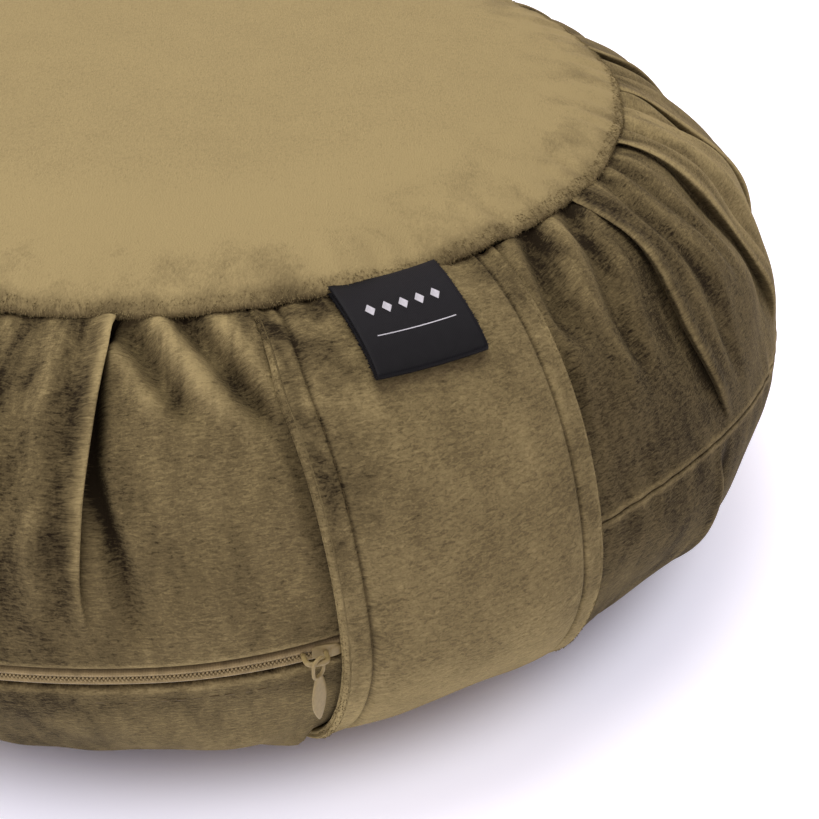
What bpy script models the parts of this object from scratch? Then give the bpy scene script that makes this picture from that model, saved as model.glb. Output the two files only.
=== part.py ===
"""Zafu meditation cushion in velour, with a wide handle, a folded label and a zip.

The cushion stands at the origin on its round bottom panel, +Z up, in metres. Azimuths are in
degrees, anticlockwise from +X seen from above: the handle is on the front right, at -62 degrees,
and the zip runs from under the handle's left edge round the front left to the back.

The side wall is described by one profile, from the bottom seam out to the widest level and up to
the top seam. Folds, seams and the handle's seat are offsets from it along its normal, and every
piece on the wall takes its place from the same profile.
"""

import math

import bmesh
import bpy
import numpy as np
from mathutils import Matrix

COLLECTION = "Zafu_cushion"
CUTTERS = "Cutters"

# Cloth and clearance
CLOTH = 0.003                 # doubled-up velour, with its pile
GAP = 0.0003                  # between two pieces that lie against each other
CAP_GAP = 0.0005              # beside the top panel's rim, where both sides' facets cut a circle

# Cushion body
SEAM_RADIUS = 0.130           # top seam
SEAM_HEIGHT = 0.1214
WIDEST_RADIUS = 0.1825
WIDEST_HEIGHT = 0.0578
BASE_SEAM_RADIUS = 0.134      # bottom seam
BASE_SEAM_HEIGHT = CLOTH + GAP
SHOULDER_POWER = 1.716        # 2 would make the wall's profile an ellipse
CROWN_HEIGHT = 0.011          # middle of the top panel above its seam
CROWN_POWER = 5.0             # how late the crown rolls down to its rim
SEAM_TUCK = 0.002             # how far the rim goes down into the seam
PUFF = 0.0022                 # swell of the wall between two pleats

# Seam between the two side bands, which the handle lifts a little on its right
JOIN_HEIGHT = 0.0582
JOIN_RISE = 0.0112
JOIN_PEAK = -46.0
JOIN_RISE_LEFT = 40.0         # degrees over which the rise dies out on each side of its peak
JOIN_RISE_RIGHT = 50.0
SEAM_CHANNEL_DEPTH = 0.0014
SEAM_CHANNEL_WIDTH = 0.0026

# Zip, in a channel along the same seam
ZIP_START = -71.4             # under the handle's left edge
ZIP_END = -182.0
TAPE_HALF_WIDTH = 0.0025
TAPE_THICKNESS = 0.0008
COIL_HALF_WIDTH = 0.0019
ZIP_CHANNEL_HALF_WIDTH = 0.0028
ZIP_CHANNEL_LIP = 0.0035
ZIP_CHANNEL_DEPTH = 0.0022
ZIP_CHANNEL_FADE = 1.0        # degrees past each end of the zip

# Zip slider and pull, in the slider's own axes: along the zip, across it, and out of the wall
SLIDER_AZIMUTH = -73.6
SLIDER_SIZE = (0.0095, 0.0068, 0.0010)
BRIDGE_CENTRE = -0.0016
BRIDGE_LENGTH = 0.0060
BRIDGE_WIDTH = 0.0014
BRIDGE_BAR = 0.0008
BRIDGE_CLEAR_HEIGHT = 0.0018
PULL_THICKNESS = 0.0008
PULL_EYE_HOLE = (0.0016, 0.0017)
EYE_POWER = 3.5               # 2 would make the eye an ellipse
PULL_EYE_WALL = 0.0007
PULL_NECK_HALF_WIDTH = 0.0011
PULL_HALF_WIDTH = 0.0022
PULL_NECK_DROP = 0.0042
PULL_LENGTH = 0.0190          # from the eye's middle to the tip
PULL_TURN = 38.0              # turned about its length, so that the bridge passes the eye
PULL_TILT = 7.0               # its tip leans in towards the wall

# Handle
STRAP_WIDTH = 0.070
STRAP_NECK = 0.0665           # width gathered into each seam
STRAP_AZIMUTH = -62.1
STRAP_TOP_AZIMUTH = -61.3
STRAP_PUFF = 0.0022           # how far its middle stands off the wall
STRAP_NECK_LENGTH = 0.030
STRAP_SEAT_MARGIN = 0.002
STRAP_SEAT_FADE = 0.006

# Label
LABEL_WIDTH = 0.0285
LABEL_LENGTH = 0.028
LABEL_LEAF = 0.001
LABEL_LEAF_PITCH = 0.0014
LABEL_AZIMUTH = -60.6
LABEL_ROWS = (0.0, 0.15, 0.35, 0.55, 0.78, 1.0)     # along one leaf, seam to fold

# Knife pleats. "faces" is the way the fold's edge looks: 1 towards larger azimuths. "level" is the
# height where the fold has opened out flat, "fade" the height over which it does so, and "lean"
# how far the edge has drifted by then.
PLEAT_COLUMNS = ("azimuth", "faces", "depth", "level", "fade", "lean")
UPPER_PLEATS = (
    (-89.4, 1, 0.0052, 0.080, 0.020, -0.8),
    (-32.0, -1, 0.0045, 0.070, 0.016, -1.8),
    (-15.4, -1, 0.0040, 0.072, 0.020, 5.0),
    (4.8, -1, 0.0042, 0.070, 0.024, -3.0),
    (21.4, -1, 0.0038, 0.074, 0.022, 1.0),
    (40.0, -1, 0.0045, 0.072, 0.020, 2.0),
    (57.5, -1, 0.0036, 0.078, 0.026, -1.5),
    (77.0, -1, 0.0048, 0.070, 0.020, 1.0),
    (95.5, -1, 0.0040, 0.076, 0.022, -2.0),
    (114.0, -1, 0.0044, 0.072, 0.024, 1.5),
    (134.0, 1, 0.0040, 0.075, 0.020, -2.0),
    (153.0, 1, 0.0050, 0.070, 0.022, 1.0),
    (171.0, 1, 0.0038, 0.078, 0.024, -1.0),
    (-170.0, 1, 0.0046, 0.072, 0.020, 2.0),
    (-150.5, 1, 0.0040, 0.076, 0.022, -1.5),
    (-131.0, 1, 0.0047, 0.072, 0.020, 1.0),
    (-110.5, 1, 0.0036, 0.080, 0.024, -1.5),
)
LOWER_PLEATS = (
    (-30.6, 1, 0.0042, 0.064, 0.008, -1.5),
    (-7.5, 1, 0.0034, 0.050, 0.018, 1.0),
    (9.5, 1, 0.0040, 0.052, 0.016, -1.0),
    (27.0, 1, 0.0034, 0.048, 0.018, 1.5),
    (45.0, 1, 0.0040, 0.052, 0.016, -1.0),
    (62.5, 1, 0.0036, 0.048, 0.018, 1.0),
    (81.5, 1, 0.0042, 0.052, 0.016, -1.5),
    (100.0, 1, 0.0034, 0.050, 0.018, 1.0),
    (119.0, 1, 0.0040, 0.050, 0.018, -1.0),
    (138.5, 1, 0.0036, 0.046, 0.016, 1.0),
    (157.5, 1, 0.0040, 0.048, 0.018, -1.0),
    (175.5, 1, 0.0034, 0.046, 0.016, 1.0),
    (-165.2, 1, 0.0038, 0.046, 0.018, -1.0),
    (-145.5, 1, 0.0034, 0.044, 0.018, 1.0),
    (-126.8, 1, 0.0030, 0.044, 0.018, -1.0),
    (-105.0, 1, 0.0022, 0.038, 0.018, 1.0),
)
PLEAT_TOP_REACH = 0.013       # how far the raised side slopes back from the fold's edge
PLEAT_HOLLOW_REACH = 0.008    # how far the hollow in front of it runs
PLEAT_TOP_SHARE = 0.4         # part of the depth that stands proud of the wall
SEAM_SHARE = 0.35             # part of a fold's depth that is left right at its seam
SEAM_EASE = 0.012             # height over which a fold reaches its depth
BASE_HOLD = 0.005             # the bottom seam itself stays flat over this much of the wall

# Soft gathers of the upper band: valleys that start at the top seam and run out on the wall
GATHER_COLUMNS = ("azimuth", "low_azimuth", "level", "depth", "half_width")
GATHERS = (
    (-99.5, -99.8, 0.066, 0.0016, 0.0050),
    (-93.0, -94.5, 0.062, 0.0018, 0.0045),
    (-86.6, -82.0, 0.090, 0.0024, 0.0040),
    (-81.2, -78.4, 0.096, 0.0024, 0.0040),
    (-40.5, -44.0, 0.100, 0.0026, 0.0045),
    (-35.6, -40.0, 0.090, 0.0014, 0.0040),
    (-21.5, -19.0, 0.098, 0.0012, 0.0035),
    (13.5, 14.0, 0.090, 0.0016, 0.0045),
    (31.0, 33.0, 0.088, 0.0018, 0.0045),
    (49.0, 48.0, 0.092, 0.0014, 0.0045),
    (67.0, 69.0, 0.086, 0.0020, 0.0050),
    (86.0, 84.0, 0.090, 0.0016, 0.0045),
    (105.0, 107.0, 0.088, 0.0018, 0.0045),
    (124.0, 124.0, 0.080, 0.0022, 0.0055),
    (144.0, 142.0, 0.090, 0.0016, 0.0045),
    (162.0, 164.0, 0.088, 0.0018, 0.0045),
    (-179.0, -177.0, 0.092, 0.0014, 0.0045),
    (-160.0, -162.0, 0.086, 0.0020, 0.0050),
    (-141.0, -139.0, 0.090, 0.0016, 0.0045),
    (-121.0, -123.0, 0.088, 0.0018, 0.0045),
)

# Fineness of the solids
PROFILE_SAMPLES = 1201
COLUMN_STEP = 4.5             # degrees between the wall's plain columns
COLUMN_ROOM = 2.0             # least distance of such a column from a fold's own columns
FOLD_HALF_STEP = 0.28         # columns on each side of a pleat's edge
GATHER_SIDE_STEP = 2.0        # and on each side of a gather's bottom
GATHER_SIDE_ROOM = 0.8
PANEL_STEPS = 84
CROWN_RINGS = (0.0, 0.45, 0.72, 0.88, 0.96, 0.992)
UPPER_ROWS = (1.0, 0.955, 0.88, 0.77, 0.64, 0.50, 0.36, 0.22, 0.10, 0.0)
LOWER_ROWS = (1.0, 0.84, 0.67, 0.50, 0.34, 0.20, 0.09, 0.0)
JOIN_MARGIN = 0.007           # rows closer than this to the join follow its channel
STRAP_COLUMNS = 12
LABEL_COLUMNS = 6
TAPE_STEP = 2.0               # degrees between the zip tape's sections
SHARP_ANGLE = math.radians(50.0)
WELD = 1e-6                   # points closer than this are one point


def fold_table(rows, columns):
    """A short table of folds with named columns."""
    return np.array(list(rows), dtype=[(name, float) for name in columns])


UPPER = fold_table(UPPER_PLEATS, PLEAT_COLUMNS)
LOWER = fold_table(LOWER_PLEATS, PLEAT_COLUMNS)
GATHER = fold_table(GATHERS, GATHER_COLUMNS)


def ease(x):
    """0 below 0, 1 above 1 and smooth between."""
    x = np.clip(x, 0.0, 1.0)
    return x * x * (3.0 - 2.0 * x)


def turn_between(azimuth, reference):
    """Degrees from one azimuth to another, the short way round."""
    return (azimuth - reference + 180.0) % 360.0 - 180.0


# ---------------------------------------------------------------- the wall's profile

def profile_samples():
    """Radius, height and path length of the plain wall from the bottom seam to the top seam.

    Above and below the widest level the wall is a quarter of a superellipse.
    """
    turn = np.linspace(-math.pi / 2, math.pi / 2, PROFILE_SAMPLES)
    out = np.clip(np.cos(turn), 0.0, 1.0) ** (2.0 / SHOULDER_POWER)
    along = np.abs(np.sin(turn)) ** (2.0 / SHOULDER_POWER)
    upper = turn >= 0.0
    seam_radius = np.where(upper, SEAM_RADIUS + CAP_GAP, BASE_SEAM_RADIUS)
    reach = np.where(upper, SEAM_HEIGHT - WIDEST_HEIGHT, BASE_SEAM_HEIGHT - WIDEST_HEIGHT)
    radius = seam_radius + (WIDEST_RADIUS - seam_radius) * out
    height = WIDEST_HEIGHT + reach * along
    step = np.hypot(np.diff(radius), np.diff(height))
    path = np.concatenate(([0.0], np.cumsum(step)))
    return radius, height, path


RADIUS, HEIGHT, PATH = profile_samples()
WALL_LENGTH = PATH[-1]
SLOPE_R = np.gradient(RADIUS, PATH)
SLOPE_Z = np.gradient(HEIGHT, PATH)


def wall_section(path):
    """Radius, height and outward normal (radial, vertical) at a path length up the wall."""
    radius = np.interp(path, PATH, RADIUS)
    height = np.interp(path, PATH, HEIGHT)
    slope_r = np.interp(path, PATH, SLOPE_R)
    slope_z = np.interp(path, PATH, SLOPE_Z)
    length = np.hypot(slope_r, slope_z)
    return radius, height, slope_z / length, -slope_r / length


def wall_points(azimuth, path, offset):
    """World points at an azimuth and a path length, moved out along the wall's normal."""
    radius, height, normal_r, normal_z = wall_section(path)
    radius = radius + offset * normal_r
    turn = np.radians(azimuth)
    spot = (radius * np.cos(turn), radius * np.sin(turn), height + offset * normal_z)
    return np.stack(np.broadcast_arrays(*spot), -1)


def join_path(azimuth):
    """Path length of the seam between the two bands, at an azimuth."""
    turn = turn_between(azimuth, JOIN_PEAK)
    span = np.where(turn < 0.0, JOIN_RISE_LEFT, JOIN_RISE_RIGHT)
    rise = np.cos(np.clip(np.abs(turn) / span, 0.0, 1.0) * math.pi / 2) ** 2
    return np.interp(JOIN_HEIGHT + JOIN_RISE * rise, HEIGHT, PATH)


# ---------------------------------------------------------------- the handle's place

def strap_end_weight(path):
    """1 at both seams, 0 over the middle of the handle's length."""
    return ease(1.0 - np.minimum(path, WALL_LENGTH - path) / STRAP_NECK_LENGTH)


def strap_half_width(path):
    return 0.5 * (STRAP_WIDTH + (STRAP_NECK - STRAP_WIDTH) * strap_end_weight(path))


def strap_azimuth(path):
    top = ease(1.0 - (WALL_LENGTH - path) / STRAP_NECK_LENGTH)
    return STRAP_AZIMUTH + (STRAP_TOP_AZIMUTH - STRAP_AZIMUTH) * top


def strap_seat(azimuth, path):
    """1 under the handle and a little beyond it, 0 elsewhere."""
    radius = wall_section(path)[0]
    turn = np.clip(turn_between(azimuth, strap_azimuth(path)), -80.0, 80.0)
    beyond = np.abs(radius * np.sin(np.radians(turn))) - strap_half_width(path) - STRAP_SEAT_MARGIN
    return 1.0 - ease(beyond / STRAP_SEAT_FADE)


def seat_depth(path):
    """How far the wall is drawn in under the handle's ends, so that they lie in the seams."""
    return (CLOTH + GAP) * strap_end_weight(path)


def strap_offset(path):
    """Offset of the handle's inner face from the plain wall."""
    end = strap_end_weight(path)
    return GAP + STRAP_PUFF * (1.0 - end) - seat_depth(path)


# ---------------------------------------------------------------- folds, seams and channels

def band_share(path, join):
    """0 at both ends of a band and 1 in between: how much of its lean a pleat shows there."""
    up = np.where(path > join, (WALL_LENGTH - path) / (WALL_LENGTH - join), path / join)
    return np.sin(np.pi * np.clip(up, 0.0, 1.0) ** 1.5)


def pleat_line(table, path, upper):
    """Azimuth of a pleat's edge at a path length up the wall."""
    join = join_path(table["azimuth"])
    lean = np.where((path > join) == upper, table["lean"], 0.0)
    return table["azimuth"] + lean * band_share(path, join)


def gather_line(table, path):
    """Azimuth of a gather's bottom, which drifts on its way down and comes back below it."""
    join = join_path(table["azimuth"])
    low = np.interp(table["level"], HEIGHT, PATH)
    share = np.clip((path - join) / (low - join), 0.0, 1.0)
    down = np.clip((WALL_LENGTH - path) / (WALL_LENGTH - low), 0.0, 1.0)
    drift = turn_between(table["low_azimuth"], table["azimuth"])
    return table["azimuth"] + drift * np.minimum(down, share)


def pleat_offset(azimuth, path, table, upper):
    """Knife pleats: the cloth rises to each fold's edge, drops, and comes back out of the hollow."""
    seam_height = SEAM_HEIGHT if upper else BASE_SEAM_HEIGHT
    radius, height = wall_section(path)[:2]
    from_seam = np.abs(height - seam_height)
    total = np.zeros(np.broadcast(azimuth, path).shape)
    for row in table:
        turn = turn_between(azimuth, pleat_line(row, path, upper))
        across = row["faces"] * np.radians(turn) * radius
        top = PLEAT_TOP_SHARE * np.exp(np.minimum(across, 0.0) / PLEAT_TOP_REACH)
        hollow = (PLEAT_TOP_SHARE - 1.0) * np.exp(-np.maximum(across, 0.0) / PLEAT_HOLLOW_REACH)
        depth = row["depth"] * (SEAM_SHARE + (1.0 - SEAM_SHARE) * ease(from_seam / SEAM_EASE))
        run_out = np.abs(row["level"] - seam_height) - from_seam
        total += depth * ease(run_out / row["fade"]) * np.where(across < 0.0, top, hollow)
    return total


def gather_offset(azimuth, path):
    """Soft valleys that fan out from the top seam."""
    radius, height = wall_section(path)[:2]
    total = np.zeros(np.broadcast(azimuth, path).shape)
    for row in GATHER:
        across = np.radians(turn_between(azimuth, gather_line(row, path))) * radius
        left = (height - row["level"]) / (SEAM_HEIGHT - row["level"])
        total -= row["depth"] * ease(2.0 * left) * np.exp(-(across / row["half_width"]) ** 2)
    return total


def puff_offset(azimuth, path, table, low_path, high_path):
    """The filling swells the cloth between neighbouring pleats, and not at them or at the seams."""
    edges = np.sort(table["azimuth"])
    edges = np.concatenate(([edges[-1] - 360.0], edges, [edges[0] + 360.0]))
    place = turn_between(azimuth, 0.0)
    left = np.clip(np.searchsorted(edges, place, side="right") - 1, 0, len(edges) - 2)
    share = (place - edges[left]) / (edges[left + 1] - edges[left])
    up = np.clip((path - low_path) / (high_path - low_path), 0.0, 1.0)
    return PUFF * np.sin(np.pi * share) ** 2 * np.sin(np.pi * up) ** 2


def zip_weight(azimuth):
    """1 along the zip, 0 past its ends."""
    middle = 0.5 * (ZIP_START + ZIP_END)
    half = 0.5 * (ZIP_START - ZIP_END)
    return 1.0 - ease((np.abs(turn_between(azimuth, middle)) - half) / ZIP_CHANNEL_FADE)


def join_offset(azimuth, from_join, seat):
    """The plain seam is a soft channel, and the zip lies in a square one."""
    plain = SEAM_CHANNEL_DEPTH * np.exp(-(from_join / SEAM_CHANNEL_WIDTH) ** 2)
    lip = (ZIP_CHANNEL_LIP - np.abs(from_join)) / (ZIP_CHANNEL_LIP - ZIP_CHANNEL_HALF_WIDTH)
    square = ZIP_CHANNEL_DEPTH * np.clip(lip, 0.0, 1.0)
    weight = zip_weight(azimuth)
    return -(plain * (1.0 - weight) * (1.0 - seat) + square * weight)


def wall_offset(azimuth, path):
    """Everything that moves the side wall's cloth in or out from the plain profile."""
    join = join_path(azimuth)
    seat = strap_seat(azimuth, path)
    upper = (pleat_offset(azimuth, path, UPPER, True) + gather_offset(azimuth, path)
             + puff_offset(azimuth, path, UPPER, join, WALL_LENGTH))
    lower = (pleat_offset(azimuth, path, LOWER, False)
             + puff_offset(azimuth, path, LOWER, 0.0, join))
    folds = np.where(path > join, upper, lower)
    held = ease(np.abs(path - join) / JOIN_MARGIN) * ease(path / BASE_HOLD)
    return (folds * held * (1.0 - seat) - seat * seat_depth(path)
            + join_offset(azimuth, path - join, seat))


# ---------------------------------------------------------------- making objects

def material(name, rgb, roughness, metallic=0.0):
    made = bpy.data.materials.new(name)
    made.use_nodes = True
    shader = made.node_tree.nodes["Principled BSDF"]
    shader.inputs["Base Color"].default_value = (*rgb, 1.0)
    shader.inputs["Roughness"].default_value = roughness
    shader.inputs["Metallic"].default_value = metallic
    made.diffuse_color = (*rgb, 1.0)
    return made


def own_collection(name):
    made = bpy.data.collections.new(name)
    bpy.context.scene.collection.children.link(made)
    return made


def add_object(name, mesh, finish, collection):
    made = bpy.data.objects.new(name, mesh)
    mesh.materials.append(finish)
    collection.objects.link(made)
    return made


def fill_mesh(mesh, body):
    """A finished bmesh goes into its mesh, shaded smooth except over sharp edges."""
    bmesh.ops.recalc_face_normals(body, faces=body.faces)
    body.to_mesh(mesh)
    body.free()
    mesh.shade_smooth()
    mesh.set_sharp_from_angle(angle=SHARP_ANGLE)


def mesh_from_grid(name, points, closed=False):
    """Quads between neighbouring rows of a grid of points. A closed grid joins the last column to
    the first and has a cap on its first and last rows."""
    rows, columns = points.shape[:2]
    mesh = bpy.data.meshes.new(name)
    body = bmesh.new()
    grid = [[body.verts.new(point) for point in row] for row in points.tolist()]
    for here, there in zip(grid, grid[1:]):
        for j in range(columns if closed else columns - 1):
            k = (j + 1) % columns
            body.faces.new((here[j], here[k], there[k], there[j]))
    if closed:
        body.faces.new(reversed(grid[0]))
        body.faces.new(grid[-1])
    fill_mesh(mesh, body)
    return mesh


def turned_profile(name, outline, finish, collection):
    """A closed turned shape from an outline that starts and ends on the axis."""
    mesh = bpy.data.meshes.new(name)
    points = [(radius, 0.0, height) for radius, height in outline]
    edges = [(i, i + 1) for i in range(len(points) - 1)]
    mesh.from_pydata(points, edges, [])
    made = add_object(name, mesh, finish, collection)
    screw = made.modifiers.new("Turn", "SCREW")
    screw.steps = PANEL_STEPS
    screw.render_steps = PANEL_STEPS
    screw.use_merge_vertices = True
    screw.merge_threshold = WELD
    screw.use_smooth_shade = True
    return made


def mesh_from_curve(curve_object, name, finish, collection):
    """A filled curve as one welded mesh object, in the curve's place."""
    graph = bpy.context.evaluated_depsgraph_get()
    mesh = bpy.data.meshes.new_from_object(curve_object.evaluated_get(graph))
    mesh.name = name
    body = bmesh.new()
    body.from_mesh(mesh)
    bmesh.ops.remove_doubles(body, verts=body.verts, dist=WELD)
    fill_mesh(mesh, body)
    made = bpy.data.objects.new(name, mesh)
    made.matrix_world = curve_object.matrix_world.copy()
    bpy.data.objects.remove(curve_object)
    mesh.materials.clear()
    mesh.materials.append(finish)
    collection.objects.link(made)
    return made


def flat_outline(name, outlines, thickness, collection):
    """A flat plate: closed outlines in the XY plane, holes included, thickened both ways."""
    curve = bpy.data.curves.new(name, "CURVE")
    curve.dimensions = "2D"
    curve.fill_mode = "BOTH"
    curve.extrude = 0.5 * thickness
    for outline in outlines:
        spline = curve.splines.new("POLY")
        spline.points.add(len(outline) - 1)
        for point, (x, y) in zip(spline.points, outline):
            point.co = (x, y, 0.0, 1.0)
        spline.use_cyclic_u = True
    made = bpy.data.objects.new(name, curve)
    collection.objects.link(made)
    bpy.context.view_layer.update()
    return made


# ---------------------------------------------------------------- panels

def crown_line(rim_radius, rim_height, middle_height):
    """Points from the axis out to a rolled rim, all on one late-falling curve."""
    share = np.array(CROWN_RINGS + (1.0,))
    drop = np.sqrt(1.0 - share ** CROWN_POWER)
    return np.stack((rim_radius * share, rim_height + (middle_height - rim_height) * drop), -1)


def top_panel(finish, collection):
    outer = crown_line(SEAM_RADIUS, SEAM_HEIGHT, SEAM_HEIGHT + CROWN_HEIGHT)
    inner = crown_line(SEAM_RADIUS - CLOTH, SEAM_HEIGHT - SEAM_TUCK,
                       SEAM_HEIGHT + CROWN_HEIGHT - CLOTH)
    rim = [(SEAM_RADIUS, SEAM_HEIGHT - SEAM_TUCK)]
    outline = [*outer.tolist(), *rim, *inner[::-1].tolist()]
    return turned_profile("top_panel", outline, finish, collection)


def bottom_panel(finish, collection):
    """A flat round sheet whose rim is softly rounded into the bottom seam."""
    radius = BASE_SEAM_RADIUS - GAP
    roll = 0.4 * CLOTH
    outline = [(0.0, CLOTH), (0.5 * radius, CLOTH), (radius - roll, CLOTH), (radius, CLOTH - roll),
               (radius, roll), (radius - roll, 0.0), (0.5 * radius, 0.0), (0.0, 0.0)]
    return turned_profile("bottom_panel", outline, finish, collection)


# ---------------------------------------------------------------- filled side wall

def strap_edge_line(path, side, beyond):
    """Azimuth of a line that runs beside one of the handle's edges."""
    reach = (strap_half_width(path) + beyond) / wall_section(path)[0]
    return strap_azimuth(path) + side * np.degrees(np.arcsin(reach))


def guide_lines(path):
    """Azimuths, at one path length, of the lines that the wall's mesh columns follow."""
    lines = [gather_line(GATHER, path)]
    for table, upper in ((UPPER, True), (LOWER, False)):
        edge = pleat_line(table, path, upper)
        lines += [edge - FOLD_HALF_STEP, edge + FOLD_HALF_STEP]
    for share in (0.0, 0.5, 1.0):
        beyond = STRAP_SEAT_MARGIN + share * STRAP_SEAT_FADE
        lines.append([strap_edge_line(path, side, beyond) for side in (-1.0, 1.0)])
    zip_ends = (ZIP_START, ZIP_START + ZIP_CHANNEL_FADE, ZIP_END, ZIP_END - ZIP_CHANNEL_FADE)
    lines.append([turn_between(end, 0.0) for end in zip_ends])
    return np.concatenate(lines)


def wall_columns():
    """Azimuths of the wall's mesh columns at the top seam: on each guide line and between them."""
    columns = guide_lines(WALL_LENGTH)
    beside = np.add.outer((-GATHER_SIDE_STEP, GATHER_SIDE_STEP), GATHER["azimuth"]).ravel()
    plain = np.arange(-180.0, 180.0, COLUMN_STEP)
    for extra, room in ((beside, GATHER_SIDE_ROOM), (plain, COLUMN_ROOM)):
        away = np.abs(turn_between(extra[:, None], columns[None, :])).min(axis=1)
        columns = np.concatenate((columns, turn_between(extra[away > room], 0.0)))
    return np.sort(columns)


def column_azimuths(column, path):
    """Azimuth of each column at each ring: it keeps its place between its two guide lines."""
    start = guide_lines(WALL_LENGTH)
    order = np.argsort(start)
    turns = np.array((-360.0, 0.0, 360.0))[:, None]
    start = (start[order] + turns).ravel()
    placed = np.empty(path.shape)
    for spot, length in np.ndenumerate(path):
        line = (guide_lines(length)[order] + turns).ravel()
        placed[spot] = np.interp(column[spot[-1]], start, line)
    return placed


def wall_rows(azimuth):
    """Path lengths of the rings at each azimuth, from the top seam down to the bottom seam."""
    join = join_path(azimuth)
    top = join + JOIN_MARGIN
    upper = [top + share * (WALL_LENGTH - top) for share in UPPER_ROWS]
    steps = (ZIP_CHANNEL_LIP, ZIP_CHANNEL_HALF_WIDTH, 0.0, -ZIP_CHANNEL_HALF_WIDTH, -ZIP_CHANNEL_LIP)
    middle = [join + step for step in steps]
    lower = [share * (join - JOIN_MARGIN) for share in LOWER_ROWS]
    return np.stack(upper + middle + lower)


def ring(column, radius, height):
    turn = np.radians(column)
    return np.stack((radius * np.cos(turn), radius * np.sin(turn), np.full(turn.shape, height)), -1)


def filled_side_wall(finish, collection):
    """Both side bands round the filling, closed under the top panel and over the bottom panel."""
    column = wall_columns()
    path = wall_rows(column_azimuths(column, join_path(column)))
    azimuth = column_azimuths(column, path)
    side = wall_points(azimuth, path, wall_offset(azimuth, path))
    ledge = SEAM_HEIGHT - SEAM_TUCK - GAP
    cap = crown_line(SEAM_RADIUS - CLOTH - CAP_GAP, ledge, SEAM_HEIGHT + CROWN_HEIGHT - CLOTH - GAP)
    rings = [ring(column, radius, height) for radius, height in cap[1:]]
    rings.append(ring(column, SEAM_RADIUS + CAP_GAP, ledge))
    mesh = mesh_from_grid("filled_side_wall", np.concatenate((np.stack(rings), side)), closed=True)
    body = bmesh.new()
    body.from_mesh(mesh)
    ends = sorted(body.faces, key=lambda face: len(face.verts))[-2:]
    bmesh.ops.poke(body, faces=ends)
    highest = max(body.verts, key=lambda vert: vert.co.z)
    highest.co.z = cap[0][1]
    fill_mesh(mesh, body)
    return add_object("filled_side_wall", mesh, finish, collection)


# ---------------------------------------------------------------- handle and label

def strap_points(path, across, lift):
    """Points on the handle: across runs from -1 to 1 over its width, lift is above its inner face."""
    offset = strap_offset(path) + lift
    radius = wall_section(path)[0] + offset
    turn = np.degrees(np.arcsin(across * strap_half_width(path) / radius))
    return wall_points(strap_azimuth(path) + turn, path, offset)


def handle_strap(finish, collection):
    """One doubled strap from seam to seam, on the same rings as the wall that it lies on."""
    across = np.linspace(-1.0, 1.0, STRAP_COLUMNS + 1)
    turn = np.degrees(np.arcsin(across * 0.5 * STRAP_WIDTH / WIDEST_RADIUS))
    path = wall_rows(STRAP_AZIMUTH + turn)
    mesh = mesh_from_grid("handle_strap", strap_points(path, across[None, :], 0.0))
    made = add_object("handle_strap", mesh, finish, collection)
    wall = made.modifiers.new("Thickness", "SOLIDIFY")
    wall.thickness = CLOTH
    wall.offset = 1.0 if outward(mesh) else -1.0
    wall.use_even_offset = True
    edge = made.modifiers.new("Soft edges", "BEVEL")
    edge.width = 0.25 * CLOTH
    edge.segments = 1
    edge.limit_method = "ANGLE"
    edge.angle_limit = math.radians(60.0)
    return made


def outward(mesh):
    """Whether an open surface on the wall has its faces turned away from the cushion's axis."""
    face = mesh.polygons[len(mesh.polygons) // 2]
    return face.normal.x * face.center.x + face.normal.y * face.center.y > 0.0


def label(finish, collection):
    """A woven strip folded once: out of the seam along the handle, round, and back on itself."""
    turn_radius = 0.5 * LABEL_LEAF_PITCH
    low = GAP + 0.5 * LABEL_LEAF
    run = LABEL_LENGTH - turn_radius
    leaf = np.array(LABEL_ROWS) * run
    bend = np.radians((-54.0, -18.0, 18.0, 54.0))
    along = np.concatenate((leaf, run + turn_radius * np.cos(bend), leaf[::-1]))
    lift = np.concatenate((np.full(leaf.shape, low),
                           low + turn_radius * (1.0 + np.sin(bend)),
                           np.full(leaf.shape, low + LABEL_LEAF_PITCH)))
    path = (WALL_LENGTH - along)[:, None]
    offset = strap_offset(path) + CLOTH + lift[:, None]
    radius = wall_section(path)[0] + offset
    across = np.linspace(-0.5, 0.5, LABEL_COLUMNS + 1)[None, :] * LABEL_WIDTH
    azimuth = LABEL_AZIMUTH + np.degrees(np.arcsin(across / radius))
    mesh = mesh_from_grid("label", wall_points(azimuth, path, offset))
    made = add_object("label", mesh, finish, collection)
    leaves = made.modifiers.new("Thickness", "SOLIDIFY")
    leaves.thickness = LABEL_LEAF
    leaves.offset = 0.0
    leaves.use_even_offset = True
    return made


# ---------------------------------------------------------------- zip

def zip_tape(finish, collection):
    """The tape with the coil's ridge along its middle, carried along the seam."""
    floor = -ZIP_CHANNEL_DEPTH + GAP
    tape = floor + TAPE_THICKNESS
    section = np.array((
        (-TAPE_HALF_WIDTH, floor), (TAPE_HALF_WIDTH, floor), (TAPE_HALF_WIDTH, tape),
        (COIL_HALF_WIDTH, tape), (0.6 * COIL_HALF_WIDTH, 0.0), (-0.6 * COIL_HALF_WIDTH, 0.0),
        (-COIL_HALF_WIDTH, tape), (-TAPE_HALF_WIDTH, tape),
    ))
    azimuth = np.append(np.arange(ZIP_END, ZIP_START, TAPE_STEP), ZIP_START)[:, None]
    points = wall_points(azimuth, join_path(azimuth) + section[:, 0], section[:, 1])
    mesh = mesh_from_grid("zip_tape", points, closed=True)
    return add_object("zip_tape", mesh, finish, collection)


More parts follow.
